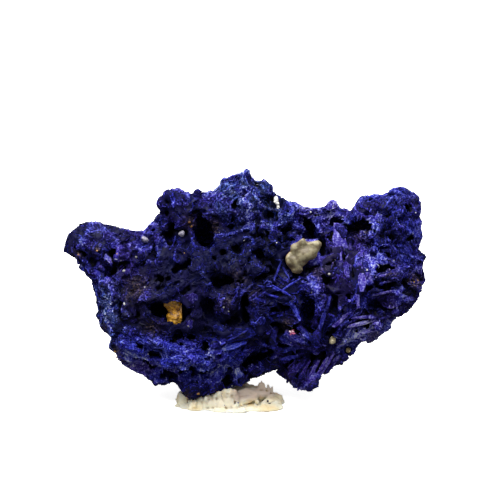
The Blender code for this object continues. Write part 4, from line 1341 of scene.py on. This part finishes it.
def puttyPad(s):
    low, high = inMm(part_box("putty_pad"))
    field = fieldFrom(low - s["below"], high + s["above"], s["voxel"])
    stampEach(field, s["lumps"])
    soften(field, 2)
    for x, top, half in s["fingers"]:
        stamp(field, (x, -4.3, 0.0), (1.0, 1.4, top * 0.9))  # the bank they rise from
        stamp(field, (x + 0.1 * math.sin(9 * x), -4.85 - 0.15 * math.sin(5 * x), top - 0.55), (half * 1.15, 0.5, 0.6))
    steps = [np.array(a) * (1 - t) + np.array(b) * t
             for line in s["rolls"] for a, b in zip(line, line[1:]) for t in np.linspace(0, 1, 7)]
    for grown, drop, dig in ((s["crease"], s["drop"], True), (0.0, 0.0, False)):  # a crease, then the roll in it
        for x, y, z, r in steps:
            stamp(field, (x, y - drop, z - drop), np.full(3, r + grown), dig=dig)
    stamp(field, *s["web"])
    for centre, radii, turn in s["grooves"]:
        c, k = math.cos(math.radians(turn)), math.sin(math.radians(turn))
        stamp(field, centre, radii, np.array([[c, 0, -k], [0, 1, 0], [k, 0, c]]), dig=True)
    soften(field, 1)
    for k, (size, share, depth) in enumerate(s["folds"]):
        field["values"] += depth * np.clip(1 - np.abs(noise(field, size, 161 + k)) / share, 0, 1)
    roughen(field, s["bumps"], 171)
    dice = np.random.default_rng(47)
    points, out = skinPoints(field, s["crumbs"], dice)
    for p, r in zip(points, dice.uniform(*s["crumbRadius"], s["crumbs"])):
        if p[2] < s["crumbTop"]:
            stamp(field, p, (r, r, r * 0.8))
    for x, y, z, r, rise in s["fringes"]:
        for t in np.linspace(0, 1, 6):
            k = r * (1 - 0.5 * t)
            stamp(field, (x + 0.1 * math.sin(9 * x) * t, y, z + rise * t), (k, k, k))
    edge = np.arange(field["values"].shape[2])[None, None] + field["low"][2]
    field["values"] = np.maximum(field["values"], (0.02 - edge * s["voxel"]).astype(np.float32))  # flat where it rests
    piece = fieldToMesh(field, "mineral_putty", s["most"], True)
    for vertex in piece.data.vertices:
        vertex.co.z = max(vertex.co.z, 0)
    return finishPiece(piece, "putty", "putty_pad"), field


nugget = calciteNugget(nuggetSettings)
ochre = ochreNugget(ochreSettings)
grains = smallGrains(smallSettings)
whiteSplinter = whiteFlake(whiteFlakeSettings)
pinkSplinter = pinkFlake(pinkSettings)
paleSpecks = specks("pale_specks", "pale", "pale_grain", 51, field)
ochreSpecks = specks("ochre_specks", "ochre", "ochre", 52, field)
putty, puttyField = puttyPad(puttySettings)
crumbs = specks("azurite_crumbs", "crumb", "azurite", 53, puttyField)
report("grains, flakes, specks and putty")


def toLinear(code):
    # sRGB hex to a linear colour
    parts = [int(code[i:i + 2], 16) / 255 for i in (1, 3, 5)]
    return tuple(c / 12.92 if c <= 0.04045 else ((c + 0.055) / 1.055) ** 2.4 for c in parts) + (1.0,)


def newMaterial(name):
    made = bpy.data.materials.new(name)
    made.use_nodes = True
    return made, made.node_tree, made.node_tree.nodes["Principled BSDF"]


def feed(tree, node, inputs):
    # inputs by name or number, or in a list in the node's own order; each takes a plain value, an sRGB hex colour,
    # a node (its first output) or a (node, output) pair
    for key, value in inputs.items() if isinstance(inputs, dict) else enumerate(inputs):
        if isinstance(value, bpy.types.Node):
            value = (value, 0)
        if isinstance(value, tuple) and isinstance(value[0], bpy.types.Node):
            tree.links.new(value[0].outputs[value[1]], node.inputs[key])
        else:
            node.inputs[key].default_value = toLinear(value) if isinstance(value, str) else value


def addNode(tree, kind, inputs=(), stops=None, **settings):
    # stops are the (position, sRGB hex or linear colour) pairs of a ramp
    made = tree.nodes.new("ShaderNode" + kind)
    for key, value in settings.items():
        setattr(made, key, value)
    if stops:
        ramp = made.color_ramp.elements
        ramp[0].position, ramp[1].position = stops[0][0], stops[-1][0]
        for position, colour in stops[1:-1]:
            ramp.new(position)
        for element, (position, colour) in zip(ramp, stops):
            element.color = toLinear(colour) if isinstance(colour, str) else colour
    feed(tree, made, inputs)
    return made


def dress(pieces, material):
    for piece in pieces:
        piece.data.materials.clear()
        piece.data.materials.append(material)


azuriteSettings = {
    "royal": [(0.0, "#05062A"), (0.35, "#171B86"), (0.66, "#3E48B8"), (0.88, "#7079C4"), (1.0, "#A8AECE")],
    "violet": [(0.0, "#0B052C"), (0.35, "#2A1A78"), (0.66, "#5A4CA6"), (0.88, "#8880BA"), (1.0, "#B6B2CE")],
    "teal": [(0.0, "#060A22"), (0.35, "#12286A"), (0.66, "#3054A4"), (0.88, "#6C8AAC"), (1.0, "#A8B8C8")],
    # the pit colour is painted shade: near-black, mixed in towards the bottom of hollows
    "dust_and_sheen": "#9CA0C0", "pit": "#010105", "rust": [(0.35, "#100A0C"), (0.55, "#342822"), (0.72, "#7E6A54")],
    "grit": 0.22, "patch": 2.6, "mottle": 1.2, "line": 0.12,  # pattern sizes in mm
    "lineStretch": 0.16, "leastDustSheen": 0.15, "specular": 0.05, "ior": 1.73,
    # what each reads, the part of it that counts, and what that is turned into
    "ranges": {
        "gritTone": ("grit", 0.3, 0.7, -0.31, 0.20), "crestTone": ("crest", 0.1, 0.8, -0.47, 0.37),
        "lineTone": ("lines", 0.35, 0.65, -0.16, 0.16), "violetPatch": ("patch", 0.38, 0.60, 0.25, 1.4),
        "tealPatch": ("mottle", 0.42, 0.58, 0.0, 1.0), "dustGrit": ("grit", 0.46, 0.70, 0.0, 2.2),
        "dustCrest": ("crest", 0.0, 0.9, 0.1, 0.9), "clayGrit": ("grit", 0.42, 0.58, 0.35, 1.0),
        "daylight": ("open", 0.24, 0.64, 0.0, 1.0), "roughness": ("mottle", 0.35, 0.65, 0.85, 0.42),
    },
    "dustSheenTone": (0.12, 0.9),  # dust and painted sheen show on the light crystals only
}


def azuriteMaterial(s):
    # azurite: a copper carbonate, glassy on fresh crystal faces, powdery where the druse is finest; its greyish dust
    # colour is partly a painted sheen on crests and light crystals, and its hollows get painted shade
    made, tree, shader = newMaterial("azurite druse")
    place = (addNode(tree, "TexCoord"), 3)
    names = ("violet", "dust_and_sheen", "teal", "rust", "crest", "tone", "gritty", "open", "across", "along")
    fact = {name: (addNode(tree, "Attribute", attribute_name=name), 2) for name in names}
    for name, detail in (("grit", 3.0), ("patch", 2.0), ("mottle", 2.0)):
        fact[name] = addNode(tree, "TexNoise", {"Vector": place, "Scale": 1000 / s[name], "Detail": detail})
    # growth lines run the length of a blade
    lengthwise = addNode(tree, "Math", [fact["along"], s["lineStretch"]], operation="MULTIPLY")
    blade = addNode(tree, "CombineXYZ", [fact["across"], lengthwise, fact["tone"]])
    fact["lines"] = addNode(tree, "TexNoise", {"Vector": blade, "Scale": 1 / s["line"], "Detail": 2.0})
    turned = {name: addNode(tree, "MapRange", [fact[source], *numbers])
              for name, (source, *numbers) in s["ranges"].items()}
    # tone: each crystal's own, a little of the grit, more on the crests and less on the floors between the walls
    # (partly painted shade there), and the lines
    gritTone = addNode(tree, "Math", [turned["gritTone"], fact["gritty"]], operation="MULTIPLY")
    tone = fact["tone"]
    for more in (gritTone, turned["crestTone"], turned["lineTone"]):
        tone = addNode(tree, "Math", [tone, more], operation="ADD")
    royal, violet, teal = (addNode(tree, "ValToRGB", [tone], s[hue]) for hue in ("royal", "violet", "teal"))
    violetShare = addNode(tree, "Math", [turned["violetPatch"], fact["violet"]], operation="MULTIPLY", use_clamp=True)
    tealShare = addNode(tree, "Math", [turned["tealPatch"], fact["teal"]], operation="MULTIPLY")
    # dust and painted sheen: a greyish veil, partly real dust and partly painted sheen, most on the crests and the
    # lightest crystals
    dustSheenShare = addNode(tree, "Math", [fact["dust_and_sheen"], s["leastDustSheen"]], operation="ADD")
    dust_and_sheen = addNode(tree, "Math", [turned["dustGrit"], turned["dustCrest"]], operation="MULTIPLY")
    dust_and_sheen = addNode(tree, "Math", [dust_and_sheen, dustSheenShare], operation="MULTIPLY")
    dustSheenTone = addNode(tree, "MapRange", [tone, *s["dustSheenTone"]])
    dust_and_sheen = addNode(tree, "Math", [dust_and_sheen, dustSheenTone], operation="MULTIPLY", use_clamp=True)
    clay = addNode(tree, "ValToRGB", [fact["grit"]], s["rust"])
    clayShare = addNode(tree, "Math", [turned["clayGrit"], fact["rust"]], operation="MULTIPLY")
    shown = royal
    for share, colour in ((violetShare, violet), (tealShare, teal), (dust_and_sheen, s["dust_and_sheen"]), (clayShare, clay)):
        shown = (addNode(tree, "Mix", {0: share, 6: shown, 7: colour}, data_type="RGBA"), 2)
    # painted shade: near-black mixed in where the mass is least open, towards the bottom of hollows
    shown = (addNode(tree, "Mix", {0: turned["daylight"], 6: s["pit"], 7: shown}, data_type="RGBA"), 2)
    feed(tree, shader, {"Base Color": shown, "Roughness": turned["roughness"], "IOR": s["ior"],
                        "Specular IOR Level": s["specular"]})
    return made


calciteSettings = {
    "clean": "#827A5E", "waxy": "#5E5239", "stain_and_rim_shade": "#6A4214", "shade": "#4C4128", "cloud": 0.6, "grain": 0.22,
    "waxyPart": (0.42, 0.58), "spots": (0.35, 0.6), "hollows": (0.50, 0.44), "bump": (0.8, 0.00008),
    "shader": {"Roughness": 0.55, "IOR": 1.6, "Subsurface Weight": 0.5, "Subsurface Radius": (1.0, 0.8, 0.5),
               "Subsurface Scale": 0.0004},
}


def calciteMaterial(s):
    # calcite: water-worn and waxy, lets a little light in; painted shade darkens its hollows, and its rims turned away
    # from the eye are brown, partly iron stain and partly painted shade
    made, tree, shader = newMaterial("waxy calcite")
    place = (addNode(tree, "TexCoord"), 3)
    cloud, fine = (addNode(tree, "TexNoise", {"Vector": place, "Scale": 1000 / s[size], "Detail": 3.0})
                   for size in ("cloud", "grain"))
    waxy = addNode(tree, "MapRange", [cloud, *s["waxyPart"]])
    # brown on the rims turned away from the eye: partly iron stain, partly painted shade
    edge = (addNode(tree, "Attribute", attribute_name="stain_and_rim_shade"), 2)
    stain_and_rim_shade = addNode(tree, "Math", [edge, addNode(tree, "MapRange", [fine, *s["spots"]])], operation="MULTIPLY")
    low = addNode(tree, "MapRange", [(addNode(tree, "NewGeometry"), 7), *s["hollows"]])  # its pointiness: darker in the hollows, painted shade
    shown = s["waxy"]
    for share, colour in ((waxy, "clean"), (stain_and_rim_shade, "stain_and_rim_shade"), (low, "shade")):
        shown = (addNode(tree, "Mix", {0: share, 6: shown, 7: s[colour]}, data_type="RGBA"), 2)
    bump = addNode(tree, "Bump", {"Height": fine, "Strength": s["bump"][0], "Distance": s["bump"][1]})
    feed(tree, shader, {"Base Color": shown, "Normal": bump, **s["shader"]})
    return made


ochreColours = {
    "stops": [(0.36, "#3A1C06"), (0.46, "#94640E"), (0.58, "#C4901E"), (0.68, "#E0B850")],  # brown, amber, honey, and a pale painted glint
    "vein": 0.7, "grain": 0.18, "grainShare": 0.3,
    "roughness": (0.35, 0.65, 0.25, 0.7), "bump": (0.4, 0.00004), "ior": 1.65,
}


def ochreMaterial(s):
    # iron-stained calcite: honey-coloured and glassy where it broke, brown and dull in the cracks, with painted glints
    # where the noise runs highest
    made, tree, shader = newMaterial("iron-stained calcite")
    place = (addNode(tree, "TexCoord"), 3)
    vein = addNode(tree, "TexNoise", {"Vector": place, "Scale": 1000 / s["vein"], "Detail": 4.0, "Distortion": 0.8})
    fine = addNode(tree, "TexNoise", {"Vector": place, "Scale": 1000 / s["grain"], "Detail": 2.0})
    mixed = addNode(tree, "Mix", {0: s["grainShare"], 2: vein, 3: fine})
    ramp = addNode(tree, "ValToRGB", [mixed], s["stops"])
    rough = addNode(tree, "MapRange", [fine, *s["roughness"]])
    bump = addNode(tree, "Bump", {"Height": fine, "Strength": s["bump"][0], "Distance": s["bump"][1]})
    feed(tree, shader, {"Base Color": ramp, "Roughness": rough, "Normal": bump, "IOR": s["ior"]})
    return made


grainSettings = {
    "cloudy": (0.35, 0.65, -0.35, 0.35), "bump": (0.3, 0.00003), "roughness": 0.5, "ior": 1.55,
    "finishes": {  # light, middle, darkest, and size of the clouds in mm
        "frosted calcite grain": ("#D2C6A4", "#9C8858", "#463E34", 0.2),
        "calcite grain with a blue bloom": ("#9894A0", "#706C80", "#2E2A50", 0.2),
        "quartz sand grain": ("#A8A8AC", "#76726C", "#3A3840", 0.2),
        "bleached calcite splinter": ("#F2F0EA", "#E0DCD0", "#A8A090", 0.2),
        "ochre sand grain": ("#A47C3C", "#7A4E1E", "#241206", 0.2),
        "azurite crumb": ("#3A3C74", "#17182E", "#08080E", 0.2),
        "pink calcite": ("#F2D8E0", "#C8487C", "#5A1A4A", 0.12),
    },
}


def grainMaterial(name, s):
    # small grains of quartz, calcite and azurite: frosted, darkest where the clouds and bumps are low
    made, tree, shader = newMaterial(name)
    light, middle, darkest, size = s["finishes"][name]
    place = (addNode(tree, "TexCoord"), 3)
    share = (addNode(tree, "Attribute", attribute_name="share"), 2)
    cloud = addNode(tree, "TexNoise", {"Vector": place, "Scale": 1000 / size, "Detail": 3.0})
    turn = addNode(tree, "MapRange", [cloud, *s["cloudy"]])
    level = addNode(tree, "Math", [share, turn], operation="ADD", use_clamp=True)
    ramp = addNode(tree, "ValToRGB", [level], [(0.0, darkest), (0.4, middle), (0.9, light)])
    bump = addNode(tree, "Bump", {"Height": cloud, "Strength": s["bump"][0], "Distance": s["bump"][1]})
    feed(tree, shader, {"Base Color": ramp, "Normal": bump, "Roughness": s["roughness"], "IOR": s["ior"]})
    return made


puttyColours = {
    "body": "#E4DDC6", "cloud": 2.2, "grain": 0.35, "fleckSpacing": 2.6,
    # the crease colour is painted shade: darker brown where the surface is hollow, by pointiness
    "worn": ("#D4C29A", 0.46, 0.64, 0.0, 1.0), "rolled": ("#B4A496",), "crease": ("#8A7658", 0.495, 0.43, 0.0, 1.0),
    "blue": ("#7C84B8", 0.62, 0.74, 0.0, 0.2), "fleck": ("#3A342E", 0.05, 0.03, 0.0, 0.7), "bump": (0.4, 0.00008),
    "shader": {"Roughness": 0.72, "IOR": 1.47, "Subsurface Weight": 0.6, "Subsurface Radius": (1.0, 0.8, 0.6),
               "Subsurface Scale": 0.0012},
}


def puttyMaterial(s):
    # mineral tack: a kneaded, chalk-filled rubber; matt, creased, and dusted with blue where the stone sat on it
    made, tree, shader = newMaterial("kneaded mineral tack")
    place = (addNode(tree, "TexCoord"), 3)
    cloud, fine = (addNode(tree, "TexNoise", {"Vector": place, "Scale": 1000 / s[size], "Detail": 3.0})
                   for size in ("cloud", "grain"))
    fleck = addNode(tree, "TexVoronoi", {"Vector": place, "Scale": 1000 / s["fleckSpacing"]})
    rolled = (addNode(tree, "Attribute", attribute_name="rolled"), 2)
    pointed = (addNode(tree, "NewGeometry"), 7)  # low in the creases, where the crease colour paints shade
    shown = s["body"]
    for name, share in (("worn", cloud), ("rolled", rolled), ("crease", pointed), ("blue", fine), ("fleck", fleck)):
        colour, *numbers = s[name]
        if numbers:
            share = addNode(tree, "MapRange", [share, *numbers])
        shown = (addNode(tree, "Mix", {0: share, 6: shown, 7: colour}, data_type="RGBA"), 2)
    bump = addNode(tree, "Bump", {"Height": fine, "Strength": s["bump"][0], "Distance": s["bump"][1]})
    feed(tree, shader, {"Base Color": shown, "Normal": bump, **s["shader"]})
    return made


def stainAndShadeNugget(piece):
    # brown on its rims turned away from the eye, most at the lower left: partly iron stain, partly painted rim shade
    points = meshArrays(piece)[0]
    out = np.empty(points.size, np.float32)
    piece.data.vertex_normals.foreach_get("vector", out)
    turned = 1 - out.reshape(-1, 3) @ unit(eye - points.mean(0))
    lower = (points.mean(0) - points) @ (0.6, 0, 0.35)
    addAttribute(piece, "stain_and_rim_shade", np.clip(turned * 1.5 - 0.55 + 0.35 * lower, 0, 1))


def markRoll(piece):
    # the worked roll is greyer than the bank of fingers at its left
    x, y, z = meshArrays(piece)[0].T
    addAttribute(piece, "rolled", np.clip((z - 0.75) / 0.5, 0, 1) * (y < -1) * np.clip(x + 2.2, 0.15, 1))


stainAndShadeNugget(nugget)
markRoll(putty)
dress([mass] + crystals, azuriteMaterial(azuriteSettings))
dress([nugget], calciteMaterial(calciteSettings))
dress([ochre], ochreMaterial(ochreColours))
dress([putty], puttyMaterial(puttyColours))
for name, pieces in {
        "frosted calcite grain": grains[:2], "calcite grain with a blue bloom": grains[2:],
        "quartz sand grain": [paleSpecks], "bleached calcite splinter": [whiteSplinter],
        "ochre sand grain": [ochreSpecks], "azurite crumb": [crumbs], "pink calcite": [pinkSplinter]}.items():
    dress(pieces, grainMaterial(name, grainSettings))
report("materials")

lightSettings = {
    "sky": 1.1, "level": 0.38, "under": 0.24,  # tent light overhead, at eye level and from below
    "box": {"place": (-0.04, -0.10, 0.34), "target": (0, 0, 0.012), "size": (0.5, 0.4), "watts": 4.2},
    "card": {"Base Color": "#F2F1EE", "Roughness": 0.9, "Emission Color": "#FFFFFF", "Emission Strength": 0.75},
}


def whiteFloor(s):
    # the card shows white but throws no light up under the specimen
    floor = bpy.data.objects.new("floor", bpy.data.meshes.new("floor"))
    floor.data.from_pydata([(-2, -2, 0), (2, -2, 0), (2, 2, 0), (-2, 2, 0)], [], [(0, 1, 2, 3)])
    bpy.context.scene.collection.objects.link(floor)
    card, tree, shader = newMaterial("white card lit from below")
    feed(tree, shader, s["card"])
    floor.data.materials.append(card)
    floor.visible_diffuse = False
    floor.visible_glossy = False


def studioWorld(s):
    # soft tent light: bright overhead, dimmer towards the floor, and white to the eye
    world = bpy.data.worlds.new("studio")
    bpy.context.scene.world = world
    world.use_nodes = True
    tree = world.node_tree
    height = (addNode(tree, "SeparateXYZ", [addNode(tree, "TexCoord")]), 2)
    share = addNode(tree, "MapRange", [height, -1.0, 1.0])
    stops = [(position, (s[name],) * 3 + (1,)) for position, name in ((0.35, "under"), (0.52, "level"), (1.0, "sky"))]
    ramp = addNode(tree, "ValToRGB", [share], stops)
    seen = addNode(tree, "Mix", {0: addNode(tree, "LightPath"), 6: ramp, 7: (1, 1, 1, 1)}, data_type="RGBA")
    feed(tree, tree.nodes["Background"], {"Color": (seen, 2)})


def aimed(name, data, place, target):
    # puts a lamp or a camera at a place, looking at a target
    made = bpy.data.objects.new(name, data)
    made.location = place
    made.rotation_euler = (Vector(target) - made.location).to_track_quat("-Z", "Y").to_euler()
    bpy.context.scene.collection.objects.link(made)
    return made


def softbox(name, place, target, size, watts):
    light = bpy.data.lights.new(name, "AREA")
    light.shape = "RECTANGLE"
    light.size, light.size_y = size
    light.energy = watts
    aimed(name, light, place, target)


whiteFloor(lightSettings)
studioWorld(lightSettings)
softbox("top softbox", **lightSettings["box"])
bpy.context.scene.view_settings.view_transform = "Standard"

cameraSettings = {"lens": 150, "target": (0.40, -0.88, 18.0)}  # mm
lens = bpy.data.cameras.new("camera")
lens.lens, lens.sensor_width, lens.clip_start = cameraSettings["lens"], 36, 0.01
bpy.context.scene.camera = aimed("camera", lens, Vector(eye) * mm, Vector(cameraSettings["target"]) * mm)

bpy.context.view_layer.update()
report("done")
